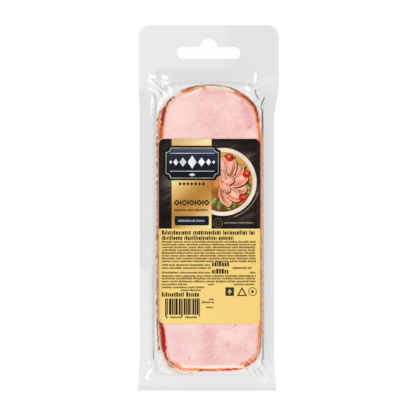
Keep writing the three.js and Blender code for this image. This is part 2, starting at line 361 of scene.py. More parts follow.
# Grey strokes, whose dim tint is painted shade.
GREY_STROKES = [
    (0.4, 0.5, (-39.7, 90.6), (-35.8, 86.3), (-32.3, 83.2)),
    (0.6, 0.3, (-32.3, 83.3), (-28.1, 83.3)),
    (0.5, 0.2, (-32.3, 85.4), (-28.4, 85.4)),
    (0.9, 0.4, (-25.6, 85.6)),
    (1.5, 0.17, (-25, 86.8), (-10, 87.9), (10, 88), (25.8, 86.8)),
    (0.5, 0.45, (-33.7, 81.4), (-31.9, 78.6)),
    (0.7, 0.4, (-38, 80), (-36.9, 77), (-36.6, 74), (-37, 64)),
    (1.3, 0.24, (-37.3, 64), (-37.3, -60)),
    (1.1, 0.32, (-38, -40), (-38.1, -100)),
    (0.9, 0.32, (28, 86.6), (31.3, 85)),
    (0.5, 0.15, (33.4, 86.1), (35.1, 86)),
    (0.45, 1, (33.1, 82.4), (33.5, 79.6), (35.6, 75.9)),
    (0.4, 0.4, (34.6, 82.2), (36.2, 83.1)),
    (0.4, 0.25, (35.6, 81), (37.4, 77.4)),
    (0.5, 1.05, (39.5, 77), (38.1, 74.4), (36.8, 70.8), (38, 67.8)),
    (0.5, 0.3, (38.2, 74), (39.3, 71), (38.6, 67)),
    (0.55, 1.4, (38, 67.8), (38.2, 60), (38.3, 56)),
    (0.6, 1, (38.3, 56), (38.3, 22)),
    (0.7, 0.72, (38.3, 22), (38.5, -106)),
    (0.5, 0.35, (-36, -92), (-35, -101.9)),
    (0.5, 0.7, (-38.2, -100), (-38.2, -106.2)),
    (1.2, 0.18, (-36.7, -107.5), (-36.6, -114.6)),
    (0.5, 0.22, (-33.7, -116.3), (-29.5, -116.3)),
    (0.6, 0.07, (-29.5, -116.8), (30, -117.2)),
    (0.45, 0.25, (-28.6, -111.4), (-22.5, -115.2), (-16.9, -117)),
    (0.8, 0.4, (37.6, -106), (38.2, -109.8)),
    (0.7, 0.3, (34.8, -112.8), (36.8, -115.2), (39.1, -117.8)),
]
# Juice from the meat in the film's folds beside it: a faint peach tint. Where the strokes are strong,
# along the ham's outline, they turn brown, and that brown is painted shadow where the meat meets the film.
JUICE_AND_SHADOW_STROKES = [
    (0.5, 1.5, (-33.2, 68.8), (-34.6, 65), (-35.5, 61)),
    (0.55, 0.75, (-35.5, 61), (-35.5, 52)),
    (0.8, 0.2, (-35.9, 56), (-36, -12)),
    (0.75, 1.15, (-35.6, 50), (-35.5, 0)),
    (0.7, 1.1, (-35.5, 0), (-35.5, -20)),
    (0.9, 0.32, (-36, -12), (-35.9, -78)),
    (0.7, 1.4, (-35.5, -18), (-35.6, -24)),
    (0.65, 1.3, (-35.6, -24), (-35.5, -40)),
    (0.65, 1.1, (-35.6, -41), (-35.7, -58)),
    (0.65, 1.2, (-35.7, -60), (-35.5, -78)),
    (0.9, 0.45, (-34.6, -78), (-34, -90), (-33.3, -97)),
    (0.5, 1.5, (-35.5, -79), (-35.2, -92), (-34.4, -99)),
    (1.2, 0.27, (-33.2, -98), (-31.3, -105), (-28.6, -110), (-24.6, -113.2), (-18, -115)),
    (0.45, 1.4, (-29.2, -107.6), (-26.6, -110.8), (-22.6, -113.2)),
    (0.7, 0.3, (-21, -115.8), (-11, -116.4)),
    (0.6, 0.9, (-17.2, -114.9)),
    (0.6, 1.1, (-12.3, -115.5)),
    (0.5, 0.7, (-10.9, -116.9)),
    (0.5, 0.9, (-19.8, -113.9)),
    (0.5, 0.8, (27.6, -113)),
    (0.9, 0.72, (37.5, 50), (37.5, -90)),
    (0.5, 0.25, (37.5, -90), (36.9, -97)),
    (0.5, 0.8, (37.8, -40), (37.8, -60)),
]
# How ragged the strokes of juice and painted shadow on the film and of colour on the meat are, and how
# much of them the meat's side loses towards its foot, from which share of its drop.
WOBBLE = Sizes(amount=0.3, wavelength=5, breaks=0.3)
SIDE_FADE = Sizes(amount=0.75, start=0.4)
# Glints on the film over the meat.
HAM_GLINTS = [
    (0.8, 0.45, (-27.6, 77.6), (-22.4, 81.4)),
    (0.5, 0.55, (-16.9, 77.4), (-10.6, 80.7), (-4.3, 83.2)),
    (0.4, 0.4, (-0.5, 84.6), (5, 84.6)),
    (0.7, 0.2, (-17.4, -111.9), (0, -110.8), (11.6, -109.9), (24.4, -111.6)),
]
STROKE_RISE = Sizes(white=0.2, grey=-0.15, glint=0.1)
# The corners of the seal, where the film puckers, and the small random creases round each: how widely
# they scatter, the point that they fan out from, as a share of the corner's x and y, how far each turns
# off that way in radians, and their sizes and strength.
PUCKERED_CORNERS = [(-37.5, 85), (36.5, 82), (-38.5, -113), (37.5, -112.5)]
CREASE = Sizes(per_corner=14, scatter=3.2, fan_x=0.5, fan_y=0.8, turn=0.5, half_length=(0.7, 2.2),
               half_width=(0.25, 0.5), share_of_strongest=(0.3, 1))
# Sealed film is a little hazy, and has painted shade in some parts, beside the meat, at the header's
# right, on the frame's top slope and along the foot: their left, right, bottom and top, over how far they
# fade out, and how much dimmer they are.
SEALED_HAZE = 0.017
DIM_AREAS = [
    ((-60, -44, -40, 80), 6, 0.085),
    ((37, 60, -100, 80), 14, 0.075),
    ((37, 60, -30, 76), 14, 0.1),
    ((-36, 36, 90, 96.6), 1.5, 0.09),
    ((20, 60, 99, 135), 14, 0.08),
    ((-60, 60, -135, -126), 4, 0.08),
]


def small_creases(seed, strongest):
    """Short weak strokes that run out from the corners of the ham."""
    draws = random.Random(seed)
    creases = []
    for corner_x, corner_y in PUCKERED_CORNERS:
        fan_x, fan_y = CREASE.fan_x * corner_x, CREASE.fan_y * corner_y
        for _ in range(CREASE.per_corner):
            x = corner_x + draws.gauss(0, CREASE.scatter)
            y = corner_y + draws.gauss(0, CREASE.scatter)
            way = math.atan2(y - fan_y, x - fan_x) + draws.gauss(0, CREASE.turn)
            reach = draws.uniform(*CREASE.half_length)
            out_x, out_y = reach * math.cos(way), reach * math.sin(way)
            half_width = draws.uniform(*CREASE.half_width)
            strength = strongest * draws.uniform(*CREASE.share_of_strongest)
            creases.append((half_width, strength, (x - out_x, y - out_y), (x + out_x, y + out_y)))
    return creases


# The small creases add faint painted highlights to the white strokes and faint painted shade to the grey
# ones.
WHITE_STROKES += small_creases(3, 0.14)
GREY_STROKES += small_creases(8, 0.26)


# Painted shade on the sealed film, from the dim areas.
def dimmed(x, y):
    most = np.zeros(np.shape(x))
    for (left, right, bottom, top), ease, strength in DIM_AREAS:
        across = smoothstep(x, left - ease, left) * (1 - smoothstep(x, right, right + ease))
        along = smoothstep(y, bottom - ease, bottom) * (1 - smoothstep(y, top, top + ease))
        most = np.maximum(most, strength * across * along)
    return most


def wobbled(points, flat):
    """Points moved a little, so that strokes read there come out ragged.

    Flat says where they would be if the ham's side lay flat, which keeps streaks from running down it."""
    moves = [ripples(*flat.T, WOBBLE.wavelength, seed=seed) for seed in (21, 22)]
    return points + WOBBLE.amount * np.stack(moves, axis=1)


# Juice tint, and painted shadow where the strokes are strong.
def juice_and_shadow_mark(points, flat):
    broken = 1 + WOBBLE.breaks * ripples(*flat.T, WOBBLE.wavelength, seed=31)
    return np.clip(broken * stroked(*wobbled(points, flat).T, JUICE_AND_SHADOW_STROKES), 0, 1)


def side_fade(drop):
    """How much of a mark is left at a drop down the ham's side."""
    return 1 - SIDE_FADE.amount * smoothstep(drop, SIDE_FADE.start * EDGE.drop, EDGE.drop)


def sealed_marks(x, y):
    # White marks are the film's slight haziness and painted highlights, grey ones painted shade, and juice
    # ones a juice tint with painted shadow along the meat.
    points = np.stack([x, y], axis=1)
    return {
        "white": np.maximum(stroked(x, y, WHITE_STROKES), SEALED_HAZE),
        "grey": np.maximum(stroked(x, y, GREY_STROKES), dimmed(x, y)),
        "juice": juice_and_shadow_mark(points, points),
    }


def sealed_rise(x, y):
    """How far the strokes raise the sealed film."""
    puckers, grooves = stroked(x, y, WHITE_STROKES), stroked(x, y, GREY_STROKES)
    return STROKE_RISE.white * puckers + STROKE_RISE.grey * grooves


def relief(x, y):
    """The uneven face of the meat, 0 or less. It is flatter under the label."""
    past_y = np.maximum(0, np.maximum(y - LABEL_HIGH[1], LABEL_LOW[1] - y))
    uneven = lerp(RELIEF.labelled, RELIEF.bare, smoothstep(past_y, 0, RELIEF.ease))
    return RELIEF.middle + uneven * ripples(x, y, RELIEF.wavelength, seed=5)


def flange_height(x, y):
    header = np.clip((y - HEADER.start) / (PACK_HIGH[1] - HEADER.start), 0, 1)
    beside = np.clip((np.abs(x) - HOLLOW.right) / (HEADER.right - HOLLOW.right), 0, 1)
    wave = FLANGE.wave * np.sin(2 * np.pi * y / FLANGE.wave_length + np.sign(x))
    return FLANGE.z - FLANGE.droop * header**2 + wave * beside * (1 - header)


WEB_GAP = np.hypot(*(HAM_RING - HOLLOW_RING).T)
WEB_ROOM = smoothstep(WEB_GAP, FOLD.from_gap, FOLD.full_gap)
WEB_START = HAM.top - EDGE.drop
BACK_WEB_START = UNDERSIDE.rise
# The strokes on the sealed film begin flat at the meat and are at their full height at this share of
# the way to the valley.
WEB_EASE = 0.3


def fold_height(share):
    """Folds run out from the meat where the gap to the hollow's edge is wide."""
    from_corner = np.where(ALONG < 0.5, ALONG, ALONG - 1)
    count = np.where(SIDE % 2 == 1, FOLD.on_long_side, FOLD.on_short_side)
    ripple = np.cos(2 * np.pi * count * from_corner)
    return FOLD.height * WEB_ROOM * ripple * math.sin(math.pi * share)


def web_height(share):
    return HOLLOW.z + (WEB_START - HOLLOW.z) * (1 - share) ** 2 + fold_height(share)


def web_ring(share):
    """A ring of the film between the meat and the valley, and its height."""
    ring = lerp(HAM_RING, HOLLOW_RING, share)
    return ring, web_height(share) + sealed_rise(*ring.T) * smoothstep(share, 0, WEB_EASE)


def face_height(x, y, inset):
    """The film's height over the ham, by how far inside the ham's outline it is."""
    turn = np.clip(1 - inset / EDGE.width, 0, 1)
    round_share = np.sqrt(1 - turn**2)
    return HAM.top - EDGE.drop * (1 - round_share) + relief(x, y) * round_share


# ---- Flat patches ----

def inside_loop(points, loop):
    """Whether points lie inside a closed loop, by counting the edges that a ray crosses."""
    x, y = points[:, :1], points[:, 1:]
    x0, y0 = loop.T
    x1, y1 = np.roll(loop, -1, axis=0).T
    rise = np.where(y1 == y0, 1, y1 - y0)
    crosses = ((y0 > y) != (y1 > y)) & (x < (x1 - x0) * (y - y0) / rise + x0)
    return crosses.sum(axis=1) % 2 == 1


def hex_points(low, high, spacing):
    """Points of a grid of even triangles over a rectangle."""
    row_step = spacing * math.sqrt(3) / 2
    rows = np.arange(low[1], high[1], row_step)
    columns = np.arange(low[0], high[0], spacing)
    x, y = np.meshgrid(columns, rows)
    x = x + (np.arange(len(rows)) % 2)[:, None] * spacing / 2
    return np.stack([x.ravel(), y.ravel()], axis=1)


def far_from(points, others, distance):
    """The points that are further than a distance from all the others."""
    keep = np.ones(len(points), bool)
    for block in np.array_split(others, max(1, len(others) // BLOCK)):
        away = np.hypot(*(points[:, None] - block[None]).transpose(2, 0, 1))
        keep &= away.min(axis=1) > distance
    return points[keep]


def triangulated(loops, loose, inside, edges=()):
    """Delaunay triangles over loops, loose points and edges, where inside() holds."""
    xy = np.concatenate([*loops, loose])
    edges, first = list(edges), 0
    for loop in loops:
        count = len(loop)
        edges += [(first + i, first + (i + 1) % count) for i in range(count)]
        first += count
    _, _, faces, origins, _, _ = delaunay_2d_cdt([Vector(p) for p in xy], edges, [], 1, SAME_PLACE)
    triangles = np.array([[origins[i][0] for i in face] for face in faces])
    return xy, triangles[inside(xy[triangles].mean(axis=1))]


# ---- Meshes ----

class Skin:
    """The points and faces of one mesh, with numbers marked on its points."""

    def __init__(self, *marks):
        self.points, self.faces, self.count = [], [], 0
        self.marks = {name: [] for name in marks}

    def add(self, xy, z, **marks):
        """Adds points and gives back their indices."""
        xy = np.asarray(xy, float)
        z = np.broadcast_to(z, len(xy))
        self.points.append(np.column_stack([xy, z]))
        for name, values in self.marks.items():
            values.append(np.broadcast_to(marks.get(name, 0), len(xy)))
        self.count += len(xy)
        return np.arange(self.count - len(xy), self.count)

    def bridge(self, inner, outer):
        """Faces between two rings, facing up where the inner one is inside the outer one."""
        a, b = np.roll(inner, -1), np.roll(outer, -1)
        self.faces += np.column_stack([inner, outer, b, a]).tolist()

    def bridge_all(self, rings):
        for inner, outer in zip(rings, rings[1:]):
            self.bridge(inner, outer)

    def patch(self, known, xy, z, triangles, **marks):
        """A triangulated patch, whose first points are in the mesh already."""
        fresh = self.add(xy[len(known):], np.asarray(z)[len(known):], **marks)
        index = np.concatenate([known, fresh])
        self.faces += index[triangles].tolist()
        return index


def placed(name, data):
    """A new object in the scene."""
    made = bpy.data.objects.new(name, data)
    bpy.context.scene.collection.objects.link(made)
    return made


def make_piece(name, skin, material, smooth_under=None):
    """The object of a skin, which rides on the pack. It is smooth, but for sharper edges."""
    mesh = bpy.data.meshes.new(name)
    mesh.from_pydata((np.concatenate(skin.points) * MM).tolist(), [], skin.faces)
    mesh.validate()
    for mark, values in skin.marks.items():
        attribute = mesh.attributes.new(mark, "FLOAT", "POINT")
        attribute.data.foreach_set("value", np.concatenate(values).astype(np.float32))
    mesh.shade_smooth()
    if smooth_under is not None:
        mesh.set_sharp_from_angle(angle=math.radians(smooth_under))
    mesh.materials.append(material)
    piece = placed(name, mesh)
    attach(piece, "root")
    return piece


# ---- The film ----

def ham_patch(inset, spacing):
    """Triangles over all that is this far inside the ham's outline."""
    loop = inset_ring(inset)
    loose = hex_points(loop.min(axis=0), loop.max(axis=0), spacing)
    loose = far_from(loose[inside_loop(loose, loop)], loop, spacing / 2)
    return triangulated([loop], loose, lambda points: inside_loop(points, loop))


def rings_over_ham(gap, face_rings):
    """Rings over the ham's face and down its side, a gap inside the film, from the face outwards.

    Each has its height, its places if the side lay flat, how far inside the outline it is, and how far
    below the face."""
    for inset in np.linspace(EDGE.width + FACE_ZONE, EDGE.width, face_rings):
        ring = inset_ring(inset + gap)
        yield ring, face_height(*ring.T, inset) - gap, ring, inset, 0
    for turn in np.linspace(0, math.pi / 2, EDGE_RINGS)[1:]:
        inset = EDGE.width * (1 - math.sin(turn))
        drop = EDGE.drop * (1 - math.cos(turn))
        ring = inset_ring(inset + gap)
        z = HAM.top - drop + relief(*ring.T) * math.cos(turn) - gap
        yield ring, z, inset_ring(inset + gap - drop), inset, drop


def near_strokes(points):
    """The points that are close to a stroke on the film."""
    keep = np.zeros(len(points), bool)
    for half_width, _, *path in WHITE_STROKES + GREY_STROKES:
        keep |= distance_to_path(*points.T, path) < 2 * half_width + CREASE_SPACING
    return points[keep]


def flange_patch():
    """Triangles over the flange, round the frame and the hang hole, finer at the creases."""
    loops = [FRAME_RING, OUTLINE_RING, HOLE_LOOP]
    fine = near_strokes(hex_points(PACK_LOW[:2], PACK_HIGH[:2], CREASE_SPACING))
    coarse = far_from(hex_points(PACK_LOW[:2], PACK_HIGH[:2], FLANGE_SPACING), fine, FLANGE_SPACING / 2)
    loose = np.concatenate([fine, coarse])

    def inside(points):
        in_frame, in_outline, in_hole = (inside_loop(points, loop) for loop in loops)
        return in_outline & ~in_frame & ~in_hole

    loose = far_from(loose[inside(loose)], np.concatenate(loops), CREASE_SPACING / 2)
    return triangulated(loops, loose, inside)


def film_over_ham(skin):
    """The front film over the ham's face and round its edge, as rings from the face outwards."""
    rings = []
    for ring, z, flat, _, drop in rings_over_ham(0, FACE_RINGS):
        # Glints over the meat are painted highlights, as white marks.
        glint = stroked(*ring.T, HAM_GLINTS)
        # Strong juice marks along the ham's outline are painted shadow.
        juice = side_fade(drop) * juice_and_shadow_mark(ring, flat)
        rings.append(skin.add(ring, z + STROKE_RISE.glint * glint, white=glint, juice=juice))
    xy, triangles = ham_patch(EDGE.width + FACE_ZONE, FACE_SPACING)
    skin.patch(rings[0], xy, face_height(*xy.T, EDGE.width), triangles)
    return rings


def front_web(skin):
    """The front film from the ham's edge to the valley, and up the frame."""
    rings = []
    for share in np.linspace(0, 1, WEB_RINGS + 1)[1:]:
        ring, z = web_ring(share)
        rings.append(skin.add(ring, z, **sealed_marks(*ring.T)))
    return rings + frame_rings(skin, FRAME_RINGS, 0, sealed_marks)


def frame_rings(skin, count, drop, marks=lambda x, y: {}):
    rings = []
    for share in np.linspace(0, 1, count + 1)[1:]:
        ring = lerp(HOLLOW_RING, FRAME_RING, share)
        z = lerp(HOLLOW.z, flange_height(*FRAME_RING.T), share)
        rings.append(skin.add(ring, z + sealed_rise(*ring.T) - drop, **marks(*ring.T)))
    return rings


def back_web(skin):
    """The back film from the frame down to the valley and in to the ham, outermost ring first."""
    rings = frame_rings(skin, BACK_FRAME_RINGS, FILM_THICKNESS)[::-1]
    for share in np.linspace(1, 0, BACK_WEB_RINGS + 1):
        ring, z = web_ring(share)
        parting = FILM_THICKNESS + (WEB_START - BACK_WEB_START - FILM_THICKNESS) * (1 - share) ** 2
        rings.append(skin.add(ring, z - parting))
    return rings


def underside_rings(skin, gap, **marks):
    """Round under the ham, from its side to the flat that the pack lies on."""
    rings = []
    power = 2 / UNDERSIDE.power
    for turn in np.linspace(0, math.pi / 2, UNDERSIDE_RINGS + 1)[1:]:
        inset = UNDERSIDE.width * (1 - math.cos(turn) ** power)
        z = UNDERSIDE.rise * (1 - math.sin(turn) ** power)
        rings.append(skin.add(inset_ring(inset + gap), z + gap, **marks))
    return rings


def bottom_patch(skin, ring, gap):
    """The flat under the ham, inside the last ring of its underside."""
    xy, triangles = ham_patch(UNDERSIDE.width + gap, 2 * FACE_SPACING)
    skin.patch(ring, xy, np.full(len(xy), gap), triangles[:, ::-1])


def make_film():
    skin = Skin("white", "grey", "juice")
    over_ham = film_over_ham(skin)
    front = front_web(skin)
    skin.bridge_all(over_ham + front)
    xy, triangles = flange_patch()
    z = flange_height(*xy.T) + sealed_rise(*xy.T)
    upper = skin.patch(front[-1], xy, z, triangles, **sealed_marks(*xy[len(SIDE):].T))
    back = back_web(skin)
    lower = skin.patch(back[0], xy, z - FILM_THICKNESS, triangles[:, ::-1])
    under = underside_rings(skin, 0)
    skin.bridge_all(back + under)
    bottom_patch(skin, under[-1], 0)
    columns, hole = len(SIDE), len(HOLE_LOOP)
    rim = slice(columns, 2 * columns)
    hole_rim = slice(2 * columns, 2 * columns + hole)
    skin.bridge(upper[rim], lower[rim])
    skin.bridge(lower[hole_rim], upper[hole_rim])
    film = make_piece("film", skin, film_material(), smooth_under=50)
    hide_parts("film_pack")


# ---- The ham ----

# Strokes of colour on the meat: half width, strength and path.
RED_STROKES = [
    (0.95, 2.2, (-30.2, 69.4), (-31.1, 66.6), (-31.7, 62), (-32.1, 58)),
    (0.8, 0.5, (-32.2, 57.6), (-32.9, 53), (-33.2, 48.6)),
    (1.2, 2.4, (-33.6, -79), (-32.2, -85), (-31.6, -90), (-31.3, -95), (-30.7, -99.5)),
    (0.8, 2, (-30.7, -99.5), (-29.3, -105), (-28.6, -107.4)),
    (0.7, 1.3, (28.6, 75.3), (31.2, 73), (33.3, 70), (34.4, 65.5), (34.9, 61)),
    (0.55, 1.2, (-15.2, 83), (-11.6, 84.2), (-9.6, 84.7)),
    (0.55, 1, (9.7, -113.4), (19.5, -112.7)),
    (0.8, 0.45, (37, -27), (37.1, -60)),
]
# Brown strokes are partly dark smoked spots and partly painted shade, a thin dark line along the ham's
# outline.
BROWN_STROKES = [
    (0.8, 1, (-24.1, 77)),
    (0.5, 1.2, (-26, 76.2), (-28.4, 72.6), (-30.4, 68.6)),
    (0.4, 0.9, (-9.6, 84.8), (-5.8, 85.5)),
    (0.45, 0.7, (3.5, 86), (10, 85.6)),
    (0.5, 0.9, (13, 84.8), (17.2, 83.1), (20.4, 81.5)),
    (0.5, 1.2, (23.4, 78.8), (27, 76.5), (29.9, 74.2), (31.6, 72.2)),
    (0.4, 0.9, (-26.4, -107.8), (-24, -109.9)),
    (0.5, 0.75, (-7.5, -113.5), (5.5, -113.4)),
    (0.6, 1.4, (26, -110.6), (28.4, -109.4)),
    (0.55, 1.3, (27.2, -107.6)),
    (0.55, 1.3, (30.4, -106.6)),
    (0.45, 1.1, (28.6, -105.8)),
    (0.5, 0.9, (31.4, -108.2), (33.8, -105)),
    (0.4, 0.65, (36.6, -84), (36.3, -99), (34.9, -105.6)),
    (0.4, 0.5, (-33.6, 56), (-34.2, 49)),
]
ORANGE_STROKES = [
    (0.8, 0.5, (-28, 70.8), (-30, 66), (-30.9, 58), (-31.6, 49)),
    (1.3, 1.3, (-32.3, 57), (-33.2, 49)),
    (0.5, 0.5, (-33.6, 66), (-34.6, 56), (-34.9, 49)),
    (1.6, 1.1, (20, 80.4), (24.4, 78.2), (27, 76.2)),
    (1.3, 0.6, (27, 75.2), (31.2, 70.8), (33.4, 66), (34.2, 60)),
    (0.9, 1.1, (34.8, 60), (35.6, 53), (36.4, 46.3)),
    (1, 1.1, (36.9, 47), (37.2, 20), (37.2, -84)),
    (1.2, 1, (-17.6, 81.6), (-11.3, 82.8)),
    (0.7, 0.9, (-17, 82.4), (-11.3, 84.6), (-2, 85.8), (8, 86.2)),
    (0.8, 0.3, (-30.4, -82), (-29.2, -95), (-27, -106)),
    (0.8, 0.9, (-25, -109.6), (-19, -112.2), (0, -113.2), (24, -112.4)),
    (1.9, 0.6, (24.5, -109), (29, -109.2), (33, -106)),
    (0.9, 0.6, (35.5, -82), (35.2, -96), (33.4, -105)),
]
CREAM_STROKES = [
    (1.2, 0.9, (-25, 76.6), (-22.6, 78.6), (-19, 81)),
    (1.3, 1, (-0.4, 84.3), (9.6, 83.9), (17, 82)),
    (0.7, 1.1, (21, 82.6), (28, 78.4), (33.2, 73), (35.9, 66.6), (37, 57)),
    (0.5, 0.6, (-31.2, 72.4), (-33.2, 66.6), (-34.2, 60)),
    (1.6, 0.6, (-10.8, -103.4)),
    (1, 1, (-18, -110.6), (0, -111.4), (24.4, -110.9)),
    (0.5, 0.8, (-16, -114.4), (0, -115), (20, -114.4)),
    (3.5, 0.4, (10, -88), (18, -91), (24, -87)),
    (8, 0.2, (-20, 70), (-24, 56)),
]
PINK_STROKES = [
    (5, 0.85, (0, 82), (9, 79.5)),
    (4.6, 1, (26.5, 69), (29.8, 58)),
    (6, 0.85, (-1, -88), (1, -104)),
    (4.5, 0.45, (13, -99), (24, -100)),
    (8, 0.6, (-22, -90), (-20, -103)),
    (0.7, 0.6, (-18.6, 80.6), (-8.6, 82.6)),
]
MEAT_STROKES = {
    "red": RED_STROKES, "brown": BROWN_STROKES, "orange": ORANGE_STROKES,
    "cream": CREAM_STROKES, "pink": PINK_STROKES,
}
RIND_DEPTH = 9


def meat_marks(points, flat, inset, drop):
    """How much of each colour points of the meat have, along ragged strokes that fade down its side."""
    x, y = wobbled(points, flat).T
    marks = {name: side_fade(drop) * stroked(x, y, strokes) for name, strokes in MEAT_STROKES.items()}
    return {"rind": max(0, 1 - inset / RIND_DEPTH), **marks}


def make_ham():
    skin = Skin("rind", *MEAT_STROKES)
    rings = [skin.add(ring, z, **meat_marks(ring, flat, inset, drop))
             for ring, z, flat, inset, drop in rings_over_ham(HAM_GAP, HAM_FACE_RINGS)]
    face_inset = EDGE.width + FACE_ZONE
    xy, triangles = ham_patch(face_inset + HAM_GAP, FACE_SPACING)
    z = face_height(*xy.T, EDGE.width) - HAM_GAP
    loose = xy[len(SIDE):]
    skin.patch(rings[0], xy, z, triangles, **meat_marks(loose, loose, face_inset, 0))
    side = skin.add(inset_ring(HAM_GAP), BACK_WEB_START, rind=1)
    under = underside_rings(skin, HAM_GAP, rind=1)
    skin.bridge_all(rings + [side] + under)
    bottom_patch(skin, under[-1], HAM_GAP)
    make_piece("ham", skin, ham_material())


# ---- The sticker and its print ----

# Lines across the label where it bends round the ham's edge, every few degrees of its turn. Between
# them every layer is flat across, so that layers with other outlines never meet.
BEND_STEP, LAST_BEND = 4, 80
BEND_TURNS = np.radians(np.arange(0, LAST_BEND + 1, BEND_STEP))
BEND_INSETS = EDGE.width * (1 - np.sin(BEND_TURNS))
HAM_LEFT, HAM_RIGHT = HAM.x - HAM.half_width, HAM.x + HAM.half_width
BEND_X = np.concatenate([HAM_LEFT + BEND_INSETS, HAM_RIGHT - BEND_INSETS])
FLAT_LEFT, FLAT_RIGHT = HAM_LEFT + EDGE.width, HAM_RIGHT - EDGE.width
PLATE_SPACING = 2.5
PLATE_MARGIN = 0.25


def label_height(x, y):
    """The film's height under the label, straight between the bend lines."""
    left = HAM_LEFT + LOWER_TAPER.amount * lower_taper(y)
    inset = np.clip(np.minimum(x - left, HAM_RIGHT - x), 0, EDGE.width)
    level = np.interp(inset, BEND_INSETS[::-1], np.cos(BEND_TURNS)[::-1])
    return HAM.top - EDGE.drop * (1 - level) + relief(x, y) * level


def split_at_bends(outline):
    """The outline with points added where it crosses the bend lines, and on long straight runs."""
    points = []
    for start, end in zip(outline, np.roll(outline, -1, axis=0)):
        shares = list(np.linspace(0, 1, int(math.hypot(*(end - start)) / PLATE_SPACING) + 2)[:-1])
        if abs(end[0] - start[0]) > SAME_PLACE:
            crossings = (BEND_X - start[0]) / (end[0] - start[0])
            shares += [share for share in crossings if SAME_SHARE < share < 1 - SAME_SHARE]
        points += [lerp(start, end, share) for share in sorted(shares)]
    return np.array(points)


def bend_edges(outline):
    """Pairs of the outline's points that face each other along a bend line, across the plate."""
    pairs = []
    for x in BEND_X:
        on_line = np.flatnonzero(np.abs(outline[:, 0] - x) < SAME_PLACE)
        on_line = on_line[np.argsort(outline[on_line, 1])]
        for a, b in zip(on_line, on_line[1:]):
            middle = (outline[a] + outline[b]) / 2
            if inside_loop(middle[None], outline)[0]:
                pairs.append((a, b))
    return pairs


def plate_points(outline):
    """Loose points within an outline: an even grid on the flat, columns on the bends."""
    low, high = outline.min(axis=0), outline.max(axis=0)
    flat = hex_points(low, high, PLATE_SPACING)
    flat = flat[(flat[:, 0] > FLAT_LEFT + PLATE_MARGIN) & (flat[:, 0] < FLAT_RIGHT - PLATE_MARGIN)]
    rows = np.arange(low[1], high[1], PLATE_SPACING)
    bends = np.array([(x, y) for x in BEND_X if low[0] < x < high[0] for y in rows])
    loose = np.concatenate([flat, bends.reshape(-1, 2)])
    loose = loose[inside_loop(loose, outline)]
    rim = [*outline, outline[0]]
    return loose[distance_to_path(*loose.T, rim) > PLATE_MARGIN]


def lay_plate(skin, outline, low, high):
    """A thin closed plate of an outline, bent to the label, between two heights over the film."""
    outline = split_at_bends(np.asarray(outline, float))
    loose = plate_points(outline)
    xy, triangles = triangulated(
        [outline], loose, lambda points: inside_loop(points, outline), bend_edges(outline),
    )
    z = label_height(*xy.T)
    top = skin.add(xy, z + high)
    bottom = skin.add(xy, z + low)
    skin.faces += top[triangles].tolist() + bottom[triangles[:, ::-1]].tolist()
    rim = len(outline)
    skin.bridge(top[:rim], bottom[:rim])


def ink(name, outlines, layer, material):
    """One piece of print: plates of the same ink on one layer over the paper."""
    skin = Skin()
    low = LABEL_GAP + PAPER_THICKNESS + INK.step * (layer - INK.sunk)
    for outline in outlines:
        lay_plate(skin, outline, low, low + INK.step * INK.thickness)
    make_piece(name, skin, material, smooth_under=40)


# Outlines, all anticlockwise.

def box(left, right, bottom, top):
    return np.array([(left, bottom), (right, bottom), (right, top), (left, top)])


def rounded(left, right, bottom, top, radius, steps=6):
    return np.concatenate([
        arc(right - radius, bottom + radius, radius, -90, 0, steps),
        arc(right - radius, top - radius, radius, 0, 90, steps),
        arc(left + radius, top - radius, radius, 90, 180, steps),
        arc(left + radius, bottom + radius, radius, 180, 270, steps),
    ])


def ticket(x, y, half_width, half_height, notch, steps=8):
    """A rectangle whose corners are cut away in hollow quarter circles."""
    left, right, bottom, top = x - half_width, x + half_width, y - half_height, y + half_height
    return np.concatenate([
        arc(right, bottom, notch, 180, 90, steps),
        arc(right, top, notch, 270, 180, steps),
        arc(left, top, notch, 360, 270, steps),
        arc(left, bottom, notch, 90, 0, steps),
    ])


def turned(shape, degrees):
    c, s = math.cos(math.radians(degrees)), math.sin(math.radians(degrees))
    return shape @ np.array([[c, s], [-s, c]])


def ellipse(x, y, half_width, half_height, turn=0, steps=40):
    angles = np.linspace(0, 2 * np.pi, steps, endpoint=False)
    shape = np.stack([half_width * np.cos(angles), half_height * np.sin(angles)], axis=1)
    return turned(shape, turn) + [x, y]


def lozenge(x, y, half_width, half_height):
    return ellipse(x, y, half_width, half_height, steps=4)


def leaf(x, y, length, width, turn):
    """A pointed leaf, from its stalk at x, y."""
    share = np.linspace(0, 1, 9)
    side = width / 2 * np.sin(np.pi * share) ** 0.8
    lower = np.stack([length * share, -side], axis=1)
    upper = np.stack([length * share[-2:0:-1], side[-2:0:-1]], axis=1)
    return turned(np.concatenate([lower, upper]), turn) + [x, y]


def band(x, y, inner, outer, start, end, steps=40):
    """A stretch of a ring."""
    return np.concatenate([
        arc(x, y, outer, start, end, steps), arc(x, y, inner, end, start, steps),
    ])


def ring_thirds(x, y, inner, outer, steps):
    """A whole ring in three stretches, since a plate has no hole."""
    return [band(x, y, inner, outer, start, start + 120, steps) for start in (0, 120, 240)]


def right_of(outline, limit):
    """The part of an outline to the right of a line."""
    points = []
    for a, b in zip(outline, np.roll(outline, -1, axis=0)):
        if a[0] >= limit:
            points.append(a)
        if (a[0] >= limit) != (b[0] >= limit):
            points.append(lerp(a, b, (limit - a[0]) / (b[0] - a[0])))
    return np.array(points)


LABEL = Sizes(left=LABEL_LOW[0], right=LABEL_HIGH[0], bottom=LABEL_LOW[1], top=LABEL_HIGH[1])
FIELD_Y = -14.6
GOLD = Sizes(left=-25.4, right=2.4)
# The layers of print over the paper, by the first one that each group of pieces is on.
LAYER = Sizes(field=1, on_field=2, on_gold=3, dish=3, leaves=5, slices=9, rounds=24, badge=26)
# How many layers a ring of slices takes.
SLICE_LAYERS = 5


